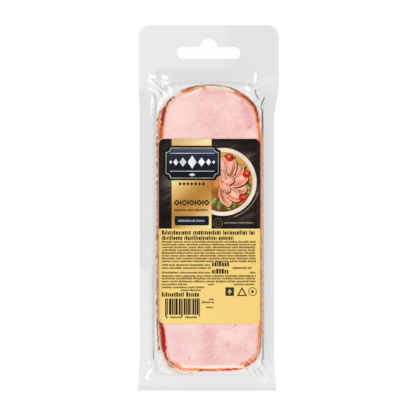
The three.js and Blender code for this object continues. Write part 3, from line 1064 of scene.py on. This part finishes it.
def make_paper():
    skin = Skin()
    outline = rounded(LABEL.left, LABEL.right, LABEL.bottom, LABEL.top, LABEL_CORNER)
    lay_plate(skin, outline, LABEL_GAP, LABEL_GAP + PAPER_THICKNESS)
    paper = make_piece("label_paper", skin, paper_material(), smooth_under=40)
    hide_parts("label")


def make_fields():
    """The dark upper field, whose top corners are the label's, and the gold band down it."""
    r = LABEL_CORNER
    dark = np.concatenate([
        [(LABEL.left, FIELD_Y), (LABEL.right, FIELD_Y)],
        arc(LABEL.right - r, LABEL.top - r, r, 0, 90, 6),
        arc(LABEL.left + r, LABEL.top - r, r, 90, 180, 6),
    ])
    ink("dark_field", [dark], LAYER.field, dark_material())
    gold = box(GOLD.left, GOLD.right, FIELD_Y, LABEL.top)
    ink("gold_band", [gold], LAYER.on_field, gold_material())


BADGE = Sizes(x=-11.1, y=31.3, half_width=19.8, half_height=12, notch=3.2, line_inset=1.3, face_inset=1.75)
# The badge's lozenges, by half width and half height: the middle one, the low one and those beside the
# middle, which also have their distance from it.
BADGE_ROW = Sizes(rise=0.6, middle=(3.1, 4.6), beside=((6.5, 2.4, 3.2), (11.4, 1.8, 2.4), (15, 1, 1.3)))
BADGE_LOW = Sizes(drop=8.2, size=(2.4, 1.1))
BADGE_RULES = Sizes(half_length=15.5, thickness=0.35, levels=(6.6, -5.9))


def make_badge():
    """A plain notched plaque with a gold line, and a row of lozenges between two rules."""
    x, y = BADGE.x, BADGE.y

    def shape(inset):
        return ticket(x, y, BADGE.half_width - inset, BADGE.half_height - inset, BADGE.notch)

    layer = LAYER.badge
    ink("badge_edge", [shape(0)], layer, tint("badge_edge", (12, 12, 14)))
    line = tint("badge_line", (176, 172, 156))
    ink("badge_line", [shape(BADGE.line_inset)], layer + 1, line)
    ink("badge_face", [shape(BADGE.face_inset)], layer + 2, navy_material())
    row_y = y + BADGE_ROW.rise
    ornament = [lozenge(x + side * away, row_y, *size)
                for away, *size in BADGE_ROW.beside for side in (-1, 1)]
    ornament.append(lozenge(x, row_y, *BADGE_ROW.middle))
    ornament.append(lozenge(x, y - BADGE_LOW.drop, *BADGE_LOW.size))
    left, right = x - BADGE_RULES.half_length, x + BADGE_RULES.half_length
    ornament += [box(left, right, y + level, y + level + BADGE_RULES.thickness)
                 for level in BADGE_RULES.levels]
    ink("badge_ornament", ornament, layer + 3, tint("badge_white", (232, 234, 238)))


PLAQUE = Sizes(left=-23.4, right=0.6, bottom=-12.3, top=-5.7, corner=1)
PLAQUE_MIDDLE = (PLAQUE.left + PLAQUE.right) / 2
# Rows of print down the gold band, by middle height: small lozenges, large lozenges with bars between
# them, a line of print, and the pale line on the plaque.
SMALL_ROW = Sizes(y=16.7, pitch=2.7, count=7, size=(1.15, 1.4))
LARGE_ROW = Sizes(y=3.6, pitch=5.2, count=5, size=(2.3, 2.3), heart=(0.9, 0.9), bar_half_width=0.4,
                  bar_half_height=2)
LOWER_LINE = Sizes(y=-1.5, height=1.5, short_by=0.4)
PALE_LINE = Sizes(y=-9, height=1.6, margin=2.4)


def evenly(row, count):
    """The x of as many places as the count, a row's pitch apart, about the plaque's middle."""
    return PLAQUE_MIDDLE + row.pitch * (np.arange(count) - (count - 1) / 2)


def make_band_print():
    """Rows of small shapes down the gold band, and a dark plaque with a pale row at its foot."""
    draws = random.Random(7)
    rows = [lozenge(x, SMALL_ROW.y, *SMALL_ROW.size) for x in evenly(SMALL_ROW, SMALL_ROW.count)]
    large = evenly(LARGE_ROW, LARGE_ROW.count)
    rows += [lozenge(x, LARGE_ROW.y, *LARGE_ROW.size) for x in large]
    low, high = LARGE_ROW.y - LARGE_ROW.bar_half_height, LARGE_ROW.y + LARGE_ROW.bar_half_height
    rows += [box(x - LARGE_ROW.bar_half_width, x + LARGE_ROW.bar_half_width, low, high)
             for x in evenly(LARGE_ROW, LARGE_ROW.count - 1)]
    rows += words(PLAQUE.left, PLAQUE.right - LOWER_LINE.short_by, LOWER_LINE.y, LOWER_LINE.height, draws)
    ink("band_print", rows, LAYER.on_gold, tint("band_ink", (62, 42, 14)))
    hearts = [lozenge(x, LARGE_ROW.y, *LARGE_ROW.heart) for x in large]
    ink("band_hearts", hearts, LAYER.on_gold + 1, tint("band_hearts", (206, 158, 84)))
    plaque = rounded(PLAQUE.left, PLAQUE.right, PLAQUE.bottom, PLAQUE.top, PLAQUE.corner)
    ink("plaque", [plaque], LAYER.on_gold, tint("plaque", (16, 22, 30)))
    left, right = PLAQUE.left + PALE_LINE.margin, PLAQUE.right - PALE_LINE.margin
    pale = words(left, right, PALE_LINE.y, PALE_LINE.height, draws)
    ink("plaque_print", pale, LAYER.on_gold + 1, tint("plaque_print", (156, 160, 164)))


FIELD_RING = Sizes(x=6.9, y=-10.6, radii=((2.9, 3.3), (1.3, 1.6)), steps=16)
# The row of bars beside the ring: left, right, middle height and the bars' height.
FIELD_LINE = (11.1, 32.1, -10.4, 1.2)


def make_field_print():
    """A thin double ring and a row of small bars at the foot of the dark field."""
    rings = [part for radii in FIELD_RING.radii
             for part in ring_thirds(FIELD_RING.x, FIELD_RING.y, *radii, FIELD_RING.steps)]
    ink("field_ring", rings, LAYER.on_field, tint("field_ring", (112, 104, 80)))
    bars = words(*FIELD_LINE, random.Random(5))
    ink("field_print", bars, LAYER.on_field, tint("field_print", (148, 138, 108)))


DISH = Sizes(x=10.2, y=18.1, radius=23.7, rim=2.7, arc_from=-72, arc_to=-16, arc_radii=(1.7, 2.15))
LEAF = Sizes(count=24, start=12, length=(7.4, 9), width=(2.6, 4), lean=22, shift=7)
LEAF_GREENS = {"dark": (62, 104, 44), "light": (142, 164, 84)}
SLICE = Sizes(half_width=7.6, half_height=4.4, rim=0.4, fat=0.75, slim=0.9, turn=14, shade=(0.5, -0.6))
LIT = Sizes(half_width=4.9, half_height=1.7, on_by=5, out_by=0.8, turn=17)
# The rings of slices: their angles, how far from the dish's middle they are, and their relative size.
SLICE_RINGS = [((-80, -24, 32, 88), 10.6, 1), ((-52, 4, 60), 10.6, 1), ((-66, 8, 82), 3.2, 0.72)]
ROUND_ANGLES = (-38, 18, 74)
ROUND = Sizes(away=17.6, size=(2.9, 2.7), light_away=18.2, light_on_by=2, light=(1.2, 0.9, 30))


def on_dish(angle, away):
    turn = math.radians(angle)
    return DISH.x + away * math.cos(turn), DISH.y + away * math.sin(turn)


def dish_ink(name, outlines, layer, material):
    """A piece of the drawn dish, as far as the gold band's edge."""
    kept = [right_of(outline, GOLD.right) for outline in outlines]
    ink(name, [outline for outline in kept if len(outline) > 2], layer, material)


def make_slices(name, angles, away, size, layer):
    """Ovals that point outwards: a shade, a browned rim, a pale edge, the meat and its light side."""
    def ovals(inset, slim=1):
        half_width = size * SLICE.half_width - inset
        half_height = (size * SLICE.half_height - inset) * slim
        return [ellipse(*on_dish(angle, away), half_width, half_height, angle + SLICE.turn)
                for angle in angles]

    lit = [ellipse(*on_dish(angle + LIT.on_by, away + LIT.out_by), size * LIT.half_width,
                   size * LIT.half_height, angle + LIT.turn, steps=24) for angle in angles]
    parts = [
        ("shades", [oval + SLICE.shade for oval in ovals(0)], (92, 36, 14), 0.3, 300),
        ("rims", ovals(0), (186, 84, 40), 0.3, 300),
        ("fat", ovals(SLICE.rim), (250, 202, 168), 0.1, 300),
        ("meat", ovals(SLICE.fat, SLICE.slim), (232, 134, 104), 0.22, 130),
        ("lit", lit, (250, 188, 168), 0.1, 200),
    ]
    for step, (part, outlines, *look) in enumerate(parts):
        dish_ink(f"{name}_{part}", outlines, layer + step, tint(f"slice_{part}", *look))


def make_leaves():
    """Two rings of leaves, each in two pieces, so that no leaf overlaps another in its own piece."""
    draws = random.Random(2)
    for number, (name, green) in enumerate(LEAF_GREENS.items()):
        angles = [360 / LEAF.count * place + LEAF.shift * number for place in range(LEAF.count)]
        leaves = [leaf(*on_dish(angle, LEAF.start), draws.uniform(*LEAF.length),
                       draws.uniform(*LEAF.width), angle + draws.uniform(-LEAF.lean, LEAF.lean))
                  for angle in angles]
        for half in (0, 1):
            layer = LAYER.leaves + 2 * number + half
            dish_ink(f"dish_leaves_{name}_{half + 1}", leaves[half::2], layer,
                     tint(f"leaf_{name}", green, 0.3, 200))


def make_dish():
    """A drawn plate of ham: a wreath of oval slices, leaves and small red rounds."""
    x, y, radius = DISH.x, DISH.y, DISH.radius
    rim = ellipse(x, y, radius, radius, steps=72)
    dish_ink("dish_rim", [rim], LAYER.dish, tint("dish_rim", (244, 228, 214), 0.06, 60))
    inner = radius - DISH.rim
    dish_ink("dish_bed", [ellipse(x, y, inner, inner, steps=64)], LAYER.dish + 1, bed_material())
    make_leaves()
    for number, ring in enumerate(SLICE_RINGS):
        make_slices(f"slices_{number + 1}", *ring, LAYER.slices + SLICE_LAYERS * number)
    rounds = [ellipse(*on_dish(angle, ROUND.away), *ROUND.size, steps=24) for angle in ROUND_ANGLES]
    dish_ink("dish_rounds", rounds, LAYER.rounds, tint("dish_rounds", (196, 44, 28), 0.3, 300))
    lights = [ellipse(*on_dish(angle + ROUND.light_on_by, ROUND.light_away), *ROUND.light, steps=16)
              for angle in ROUND_ANGLES]
    dish_ink("dish_lights", lights, LAYER.rounds + 1, tint("dish_lights", (236, 112, 84), 0.15, 300))
    inside, outside = (radius + past for past in DISH.arc_radii)
    line = band(x, y, inside, outside, DISH.arc_from, DISH.arc_to)
    ink("dish_arc", [line], LAYER.on_field, tint("dish_arc", (150, 142, 112)))


# Lines of small print: left, right, middle height and letter height.
FULL = (-32.3, 33.4)
TEXT = Sizes(top=-23.7, pitch=1.94, height=1.4)
WHOLE_LINES = (0, 1, 2, 3, 4, 5, 6, 7, 12.3, 13.2, 14.25)
TITLE_LINES = [(-32.3, 32.8, -17.3, 3.1), (-32.3, 18.1, -21, 2.9)]
BROKEN_LINES = [
    (-32.3, 2, -39.9), (-32.3, 2, -42), (17, 30.5, -42), (-32.3, 2, -45.2), (29, 33.2, -45.2),
    (-32.3, -14.4, -53.4), (0, 4.8, -53.4), (18.2, 33.3, -53.4), (-32.3, -2.2, -55.5),
    (-19, -4.6, -57.5), (0.7, 4.3, -63.8), (-4.3, 4.3, -65.9), (-1.2, 4.1, -69.4),
    (-29.4, -27.8, -76.4), (-26.5, -18.4, -76.4), (-16, -7, -76.4),
]
TALL_WORDS = [(2.7, 15.9, -39.3, 3.3), (2.7, 15.9, -44.3, 3.4), (-32.3, -5.7, -60.5, 3.2)]
# The bars of the print, in letter heights, and how many make a word.
BAR = Sizes(widths=(0.2, 0.46), heights=(0.78, 0.78, 0.88, 1), gap=0.14, space=0.38, least_room=0.3,
            in_word=(7, 18))


def words(left, right, middle, height, draws):
    """A line of print as small bars: strokes of uneven width and height, in words."""
    x, boxes = left, []
    while x < right - BAR.least_room * height:
        for _ in range(draws.randint(*BAR.in_word)):
            width = height * draws.uniform(*BAR.widths)
            if x + width > right:
                break
            tall = height * draws.choice(BAR.heights)
            low = middle - height / 2
            boxes.append(box(x, x + width, low, low + tall))
            x += width + BAR.gap * height
        x += BAR.space * height
    return boxes


def make_text():
    draws = random.Random(11)
    title = [bar for line in TITLE_LINES + TALL_WORDS for bar in words(*line, draws)]
    ink("title_print", title, LAYER.field, tint("title_ink", (46, 34, 14)))
    lines = [(*FULL, TEXT.top - TEXT.pitch * number) for number in WHOLE_LINES] + BROKEN_LINES
    small = [bar for line in lines for bar in words(*line, TEXT.height, draws)]
    ink("small_print", small, LAYER.field, tint("small_ink", (52, 40, 16)))


BARCODE = Sizes(left=-30, right=-5.7, bottom=-74.7, top=-63.3, module=0.34, guard=1.4)


def make_barcode():
    """Bars of uneven width, longer at the ends and the middle, by a draw that holds no number."""
    draws = random.Random(4)
    guards = (BARCODE.left, (BARCODE.left + BARCODE.right) / 2, BARCODE.right)
    x, boxes = BARCODE.left, []
    while x < BARCODE.right - BARCODE.module:
        width = BARCODE.module * draws.choice([2, 3, 4, 5])
        longer = min(abs(x + width / 2 - guard) for guard in guards) < BARCODE.guard
        low = BARCODE.bottom - BARCODE.guard * longer
        boxes.append(box(x, min(x + width, BARCODE.right), low, BARCODE.top))
        x += width + BARCODE.module * draws.choice([1, 1, 2])
    ink("barcode", boxes, LAYER.field, tint("barcode_ink", (34, 32, 26)))


ICONS = Sizes(y=-58.5, square=15.1, half_square=3, window=(1.5, 1.9), triangle=23.7, triangle_drop=1,
              triangle_radii=(2.5, 4.2), ring=31, ring_radii=(2.5, 3), ring_core=(1.1, 1.5))


def make_icons():
    """A square with a window, a triangle, and a ring with a core, in a row."""
    x, y, half = ICONS.square, ICONS.y, ICONS.half_square
    marks = [box(x - half, x + half, y - half, y + half)]
    place = [ICONS.triangle, y - ICONS.triangle_drop]
    marks += [turned(side, 90) + place for side in ring_thirds(0, 0, *ICONS.triangle_radii, 1)]
    marks += ring_thirds(ICONS.ring, y, *ICONS.ring_radii, 14)
    marks.append(lozenge(ICONS.ring, y, *ICONS.ring_core))
    ink("icons", marks, LAYER.field, tint("icon_ink", (58, 50, 28)))
    window = [lozenge(x, y, *ICONS.window)]
    ink("icon_window", window, LAYER.on_field, tint("icon_window", (228, 198, 118)))


# ---- Materials ----

def albedo(colour, light=OPEN_LIGHT):
    """The surface colour that looks like a screen colour of 0 to 255 under a light."""
    values = [c / 255 for c in colour]
    linear = [v / 12.92 if v <= 0.04045 else ((v + 0.055) / 1.055) ** 2.4 for v in values]
    return [v / light for v in linear] + [1]


class Paint:
    """Builds a material's nodes with short calls."""

    def __init__(self, name, light=OPEN_LIGHT):
        self.material = bpy.data.materials.new(name)
        self.material.use_nodes = True
        self.light = light
        self.nodes = self.material.node_tree.nodes
        self.links = self.material.node_tree.links
        self.shader = self.nodes["Principled BSDF"]
        self.output = self.nodes["Material Output"]
        self.place = self.nodes.new("ShaderNodeTexCoord").outputs["Object"]

    def node(self, kind, inputs=None, **settings):
        made = self.nodes.new(kind)
        for key, value in settings.items():
            setattr(made, key, value)
        for key, value in (inputs or {}).items():
            self.feed(made.inputs[key], value)
        return made

    def feed(self, socket, value):
        if isinstance(value, bpy.types.NodeSocket):
            self.links.new(value, socket)
        else:
            socket.default_value = value

    def colour(self, screen):
        return albedo(screen, self.light)

    def stretched(self, length, turn=0):
        """The place on the piece, for features that are longer along X, turned by degrees."""
        return self.node("ShaderNodeMapping", {
            "Vector": self.place, "Scale": (length, 1, 1), "Rotation": (0, 0, math.radians(turn)),
        }, vector_type="TEXTURE").outputs["Vector"]

    def noise(self, scale, detail=3, rough=0.5, distortion=0, place=None):
        return self.node("ShaderNodeTexNoise", {
            "Vector": place or self.place, "Scale": scale, "Detail": detail,
            "Roughness": rough, "Distortion": distortion,
        }).outputs["Fac"]

    def ramp(self, value, *stops):
        """A smooth ramp through stops, each a place and a screen colour or a number."""
        made = self.node("ShaderNodeValToRGB", {"Fac": value})
        elements = made.color_ramp.elements
        while len(elements) < len(stops):
            elements.new(0.5)
        for element, (position, shade) in zip(elements, stops):
            element.position = position
            plain = isinstance(shade, (int, float))
            element.color = (shade, shade, shade, 1) if plain else self.colour(shade)
        return made.outputs["Color"]

    def mix(self, share, first, second):
        made = self.nodes.new("ShaderNodeMix")
        made.data_type = "RGBA"
        self.feed(made.inputs[0], share)
        self.feed(made.inputs[6], first)
        self.feed(made.inputs[7], second)
        return made.outputs[2]

    def math(self, operation, first, second=0):
        made = self.nodes.new("ShaderNodeMath")
        made.operation = operation
        self.feed(made.inputs[0], first)
        self.feed(made.inputs[1], second)
        return made.outputs[0]

    def uneven(self, value, noise, amount):
        """A value plus so much of a noise."""
        return self.math("ADD", value, self.math("MULTIPLY", noise, amount))

    def mark(self, name):
        return self.node("ShaderNodeAttribute", attribute_name=name).outputs["Fac"]

    def along(self, way, low, high):
        """How far places lie along a direction, from 0 at low to 1 at high, in millimetres."""
        dot = self.node("ShaderNodeVectorMath", {0: self.place, 1: way}, operation="DOT_PRODUCT")
        return self.node("ShaderNodeMapRange", {
            "Value": dot.outputs["Value"], "From Min": low * MM, "From Max": high * MM,
        }).outputs["Result"]

    def bump(self, height, strength, distance):
        return self.node("ShaderNodeBump", {
            "Height": height, "Strength": strength, "Distance": distance,
        }).outputs["Normal"]

    def blend(self, share, first, second):
        made = self.node("ShaderNodeMixShader", {0: share})
        self.links.new(first.outputs[0], made.inputs[1])
        self.links.new(second.outputs[0], made.inputs[2])
        return made

    def set(self, **values):
        for key, value in values.items():
            self.feed(self.shader.inputs[key.replace("_", " ")], value)


# Film: the share of matt white at white marks (slight haziness, and painted highlights at puckers and
# glints), its gloss face-on and at a slant, its see-through tint, the darker see-through tint at grey
# marks, which is painted shade, and the matt white itself.
FILM = Sizes(haze=0.9, gloss=0.014, slant_gloss=0.85, clear=(0.902, 0.902, 0.903, 1),
             doubled=(0.12, 0.14, 0.135, 1), dull=(0.92, 0.92, 0.92, 1))
# A faint peach juice tint, and a brown that is painted shadow where the meat meets the film.
JUICE_AND_SHADOW = Sizes(faint=(0.92, 0.55, 0.3, 1), dense=(0.2, 0.07, 0.03, 1))


def film_material():
    """Clear film: matt white at puckers and glints, which is its slight haziness and painted highlights;
    dim at grooves and in some areas, which is painted shade; tinted by juice, with painted shadow beside
    the meat; with more gloss at a slant.
    """
    paint = Paint("film")
    juice = paint.mark("juice")
    # Grey marks dim what shows through: painted shade.
    through = paint.mix(paint.mark("grey"), FILM.clear, FILM.doubled)
    # Juice marks tint what shows through peach, and their strong part brown: painted shadow along the
    # ham's outline.
    through = paint.mix(paint.ramp(juice, (0, 0), (0.5, 1)), through, JUICE_AND_SHADOW.faint)
    through = paint.mix(paint.ramp(juice, (0.5, 0), (1, 1)), through, JUICE_AND_SHADOW.dense)
    clear = paint.node("ShaderNodeBsdfTransparent", {"Color": through})
    # White marks turn the film matt white: its slight haziness, and painted highlights at puckers and
    # glints.
    dull = paint.node("ShaderNodeBsdfDiffuse", {"Color": FILM.dull})
    body = paint.blend(paint.math("MULTIPLY", paint.mark("white"), FILM.haze), clear, dull)
    crinkle = paint.bump(paint.noise(230, 2), 0.1, 0.0004)
    gloss = paint.node("ShaderNodeBsdfGlossy", {
        "Color": (1, 1, 1, 1), "Roughness": 0.1, "Normal": crinkle,
    })
    facing = paint.node("ShaderNodeLayerWeight", {"Blend": 0.5}).outputs["Facing"]
    slant = paint.math("MULTIPLY", paint.math("POWER", facing, 4), FILM.slant_gloss)
    surface = paint.blend(paint.math("ADD", slant, FILM.gloss), body, gloss)
    paint.feed(paint.output.inputs["Surface"], surface.outputs[0])
    paint.nodes.remove(paint.shader)
    return paint.material


def ham_material():
    """Pale mottled meat with whitish streaks, and a smoked rim in creams, oranges and reds."""
    paint = Paint("ham", UNDER_FILM)
    colour = paint.ramp(paint.noise(24, 2, 0.5, 0.5), (0.34, (251, 221, 216)), (0.66, (242, 196, 193)))
    beige = paint.ramp(paint.noise(48, 3, 0.5, 0.8), (0.5, 0), (0.72, 0.7))
    colour = paint.mix(beige, colour, paint.colour((241, 205, 194)))
    rosy = paint.ramp(paint.noise(64, 4, 0.6, 0.8), (0.52, 0), (0.74, 0.55))
    rosy = paint.math("MAXIMUM", rosy, paint.math("MULTIPLY", paint.mark("pink"), 0.85))
    colour = paint.mix(rosy, colour, paint.colour((233, 170, 173)))
    fibres = paint.noise(120, 4, 0.55, 1.6, paint.stretched(2, 20))
    streaks = paint.ramp(fibres, (0.45, 0), (0.5, 0.42), (0.55, 0))
    colour = paint.mix(streaks, colour, paint.colour((252, 226, 216)))
    specks = paint.ramp(paint.noise(190, 1), (0.69, 0), (0.76, 0.6))
    colour = paint.mix(specks, colour, paint.colour((214, 150, 156)))
    ragged = paint.uneven(paint.mark("rind"), paint.noise(170, 4), 0.28)
    rind = paint.ramp(ragged, (0.62, 0), (0.82, 0.9))
    smoked = paint.ramp(paint.noise(130, 4, 0.6), (0.36, (246, 196, 158)), (0.66, (224, 132, 82)))
    colour = paint.mix(rind, colour, smoked)
    broken = paint.math("ADD", paint.noise(260, 3, 0.6), 0.62)
    # Brown is partly dark spots and partly painted shade along the ham's outline.
    for name, shade in (
        ("cream", (255, 232, 212)), ("orange", (228, 126, 58)),
        ("red", (168, 6, 0)), ("brown", (108, 34, 14)),
    ):
        share = paint.math("MULTIPLY", paint.mark(name), broken)
        colour = paint.mix(share, colour, paint.colour(shade))
    paint.set(Base_Color=colour, Roughness=0.36, Specular_IOR_Level=0.04)
    paint.set(Normal=paint.bump(paint.noise(420, 4), 0.22, 0.0006))
    return paint.material


def print_finish(paint, colour, gloss=0.42):
    paint.set(Base_Color=colour, Roughness=gloss, Specular_IOR_Level=0.08)
    return paint.material


def paper_material():
    paint = Paint("label_paper")
    colour = paint.ramp(paint.noise(14, 2), (0.3, (250, 217, 132)), (0.7, (245, 210, 123)))
    paint.set(Normal=paint.bump(paint.noise(900, 3, 0.6), 0.06, 0.0001))
    return print_finish(paint, colour, 0.5)


# The planks: how many, across which way and span they are counted, and how far their grain is turned.
PLANKS = Sizes(count=6, way=(-0.44, 0.9, 0), low=-32, high=68, turn=26)


def dark_material():
    """Near-black print like slanting planks of dark wood, darkest at its edges."""
    paint = Paint("dark_field")
    boards = paint.noise(60, 3, 0.55, 0.3, paint.stretched(2.2, PLANKS.turn))
    fine = paint.noise(420, 4, 0.6, 0.4, paint.stretched(6, PLANKS.turn))
    grain = paint.math("ADD", paint.math("MULTIPLY", boards, 0.7), paint.math("MULTIPLY", fine, 0.3))
    colour = paint.ramp(
        grain, (0.42, (30, 19, 14)), (0.48, (60, 45, 37)), (0.53, (84, 69, 61)), (0.6, (128, 117, 112)),
    )
    across = paint.along(PLANKS.way, PLANKS.low, PLANKS.high)
    plank = paint.math("FRACT", paint.math("MULTIPLY", across, PLANKS.count))
    seam = paint.ramp(plank, (0, 0.2), (0.06, 1), (0.96, 1), (1, 0.2))
    sides = paint.along((1, 0, 0), LABEL.left, LABEL.right)
    ends = paint.along((0, 1, 0), FIELD_Y, LABEL.top)
    lit = paint.math(
        "MULTIPLY", paint.ramp(sides, (0, 0), (0.2, 1), (0.88, 1), (1, 0.1)),
        paint.ramp(ends, (0, 0), (0.12, 0.25), (0.3, 1), (0.85, 1), (1, 0.1)),
    )
    lit = paint.math("MULTIPLY", lit, seam)
    return print_finish(paint, paint.mix(lit, paint.colour((16, 7, 5)), colour))


def gold_material():
    """Gold print with a painted sheen that runs from light to dark and back on a slant, and painted glints
    along fine brushed lines.
    """
    paint = Paint("gold_band")
    slope = paint.along((-0.8, 1, 0), -15, 65)
    colour = paint.ramp(
        slope, (0.02, (246, 223, 150)), (0.15, (230, 191, 124)), (0.25, (198, 146, 64)),
        (0.38, (180, 121, 42)), (0.45, (192, 137, 60)), (0.54, (224, 178, 104)),
        (0.64, (238, 216, 146)), (0.76, (252, 230, 168)), (0.97, (219, 181, 112)),
    )
    brushed = paint.noise(5000, 3, 0.6, 0, paint.stretched(12))
    glint = paint.ramp(brushed, (0.4, 0), (0.75, 0.12))
    return print_finish(paint, paint.mix(glint, colour, paint.colour((250, 232, 180))), 0.34)


def bed_material():
    """The plate under the slices, golden at the top and brown at the foot."""
    paint = Paint("dish_bed")
    height = paint.along((0, 1, 0), DISH.y - DISH.radius, DISH.y + DISH.radius)
    uneven = paint.uneven(height, paint.noise(160, 3), 0.8)
    colour = paint.ramp(uneven, (0.4, (102, 52, 18)), (0.8, (176, 102, 42)), (1.2, (228, 156, 84)))
    return print_finish(paint, colour)


def navy_material():
    paint = Paint("badge_face")
    height = paint.along((0, 1, 0), BADGE.y - BADGE.half_height, BADGE.y + BADGE.half_height)
    uneven = paint.uneven(height, paint.noise(80), 0.12)
    colour = paint.ramp(uneven, (0.3, (13, 17, 26)), (0.8, (36, 44, 60)), (1.04, (84, 92, 112)))
    return print_finish(paint, colour, 0.35)


TINTS = {}


def tint(name, colour, uneven=0.12, scale=200):
    """Ink of one colour that is a little uneven."""
    if name not in TINTS:
        paint = Paint(name)
        darker = [c * (1 - uneven) for c in colour]
        lighter = [min(255, c * (1 + uneven / 2)) for c in colour]
        shade = paint.ramp(paint.noise(scale, 3), (0.4, darker), (0.6, lighter))
        TINTS[name] = print_finish(paint, shade)
    return TINTS[name]


# ---- Stage, light and camera ----

FLOOR = Sizes(half_width=1500, drop=0.2, glow=0.9, albedo=0.08, uneven=0.02)
CAMERA = Sizes(x=-0.07, y=-0.14, height=2000, view=291.2, sensor=36)
SKY = 0.85
# Soft lights: which side they come from, how far from straight above, strength and width.
LIGHTS = {"key": (135, 48, 1.3, 60), "side": (-15, 60, 1.5, 45), "foot": (262, 68, 1.6, 40)}


def make_floor():
    """A white floor that glows a little, as a lit backdrop does."""
    paint = Paint("floor")
    faint = paint.noise(3, 2)
    low, high = FLOOR.albedo * (1 - FLOOR.uneven), FLOOR.albedo * (1 + FLOOR.uneven)
    paint.set(Base_Color=paint.ramp(faint, (0.3, low), (0.7, high)), Roughness=0.9)
    paint.set(Emission_Color=(1, 1, 1, 1), Emission_Strength=FLOOR.glow, Specular_IOR_Level=0.1)
    mesh = bpy.data.meshes.new("floor")
    w = FLOOR.half_width * MM
    z = -FLOOR.drop * MM
    mesh.from_pydata([(-w, -w, z), (w, -w, z), (w, w, z), (-w, w, z)], [], [(0, 1, 2, 3)])
    mesh.materials.append(paint.material)
    floor = placed("floor", mesh)
    floor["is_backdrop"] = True


def make_light():
    world = bpy.data.worlds.new("studio")
    bpy.context.scene.world = world
    world.use_nodes = True
    sky = world.node_tree.nodes["Background"].inputs
    sky["Color"].default_value = (1, 1, 1, 1)
    sky["Strength"].default_value = SKY
    for name, (side, from_top, strength, width) in LIGHTS.items():
        light = bpy.data.lights.new(name, "SUN")
        light.energy = strength
        light.angle = math.radians(width)
        placed(name, light).rotation_euler = (0, math.radians(from_top), math.radians(side))


def make_camera():
    """Straight above the pack, far off, with its frame as wide as the view at the flange."""
    data = bpy.data.cameras.new("camera")
    data.sensor_width = CAMERA.sensor
    data.lens = CAMERA.sensor * (CAMERA.height - FLANGE.z) / CAMERA.view
    camera = placed("camera", data)
    camera.location = (CAMERA.x * MM, CAMERA.y * MM, CAMERA.height * MM)
    bpy.context.scene.camera = camera


def write_sizes():
    boxes = {"cad": CAD_BOX, "visual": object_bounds()}
    {name: [list(corner) for corner in corners] for name, corners in boxes.items()}


make_camera()
make_light()
make_floor()
bpy.context.scene.view_settings.view_transform = "Standard"
make_film()
make_ham()
make_paper()
make_fields()
make_badge()
make_band_print()
make_field_print()
make_dish()
make_text()
make_barcode()
make_icons()

write_sizes()
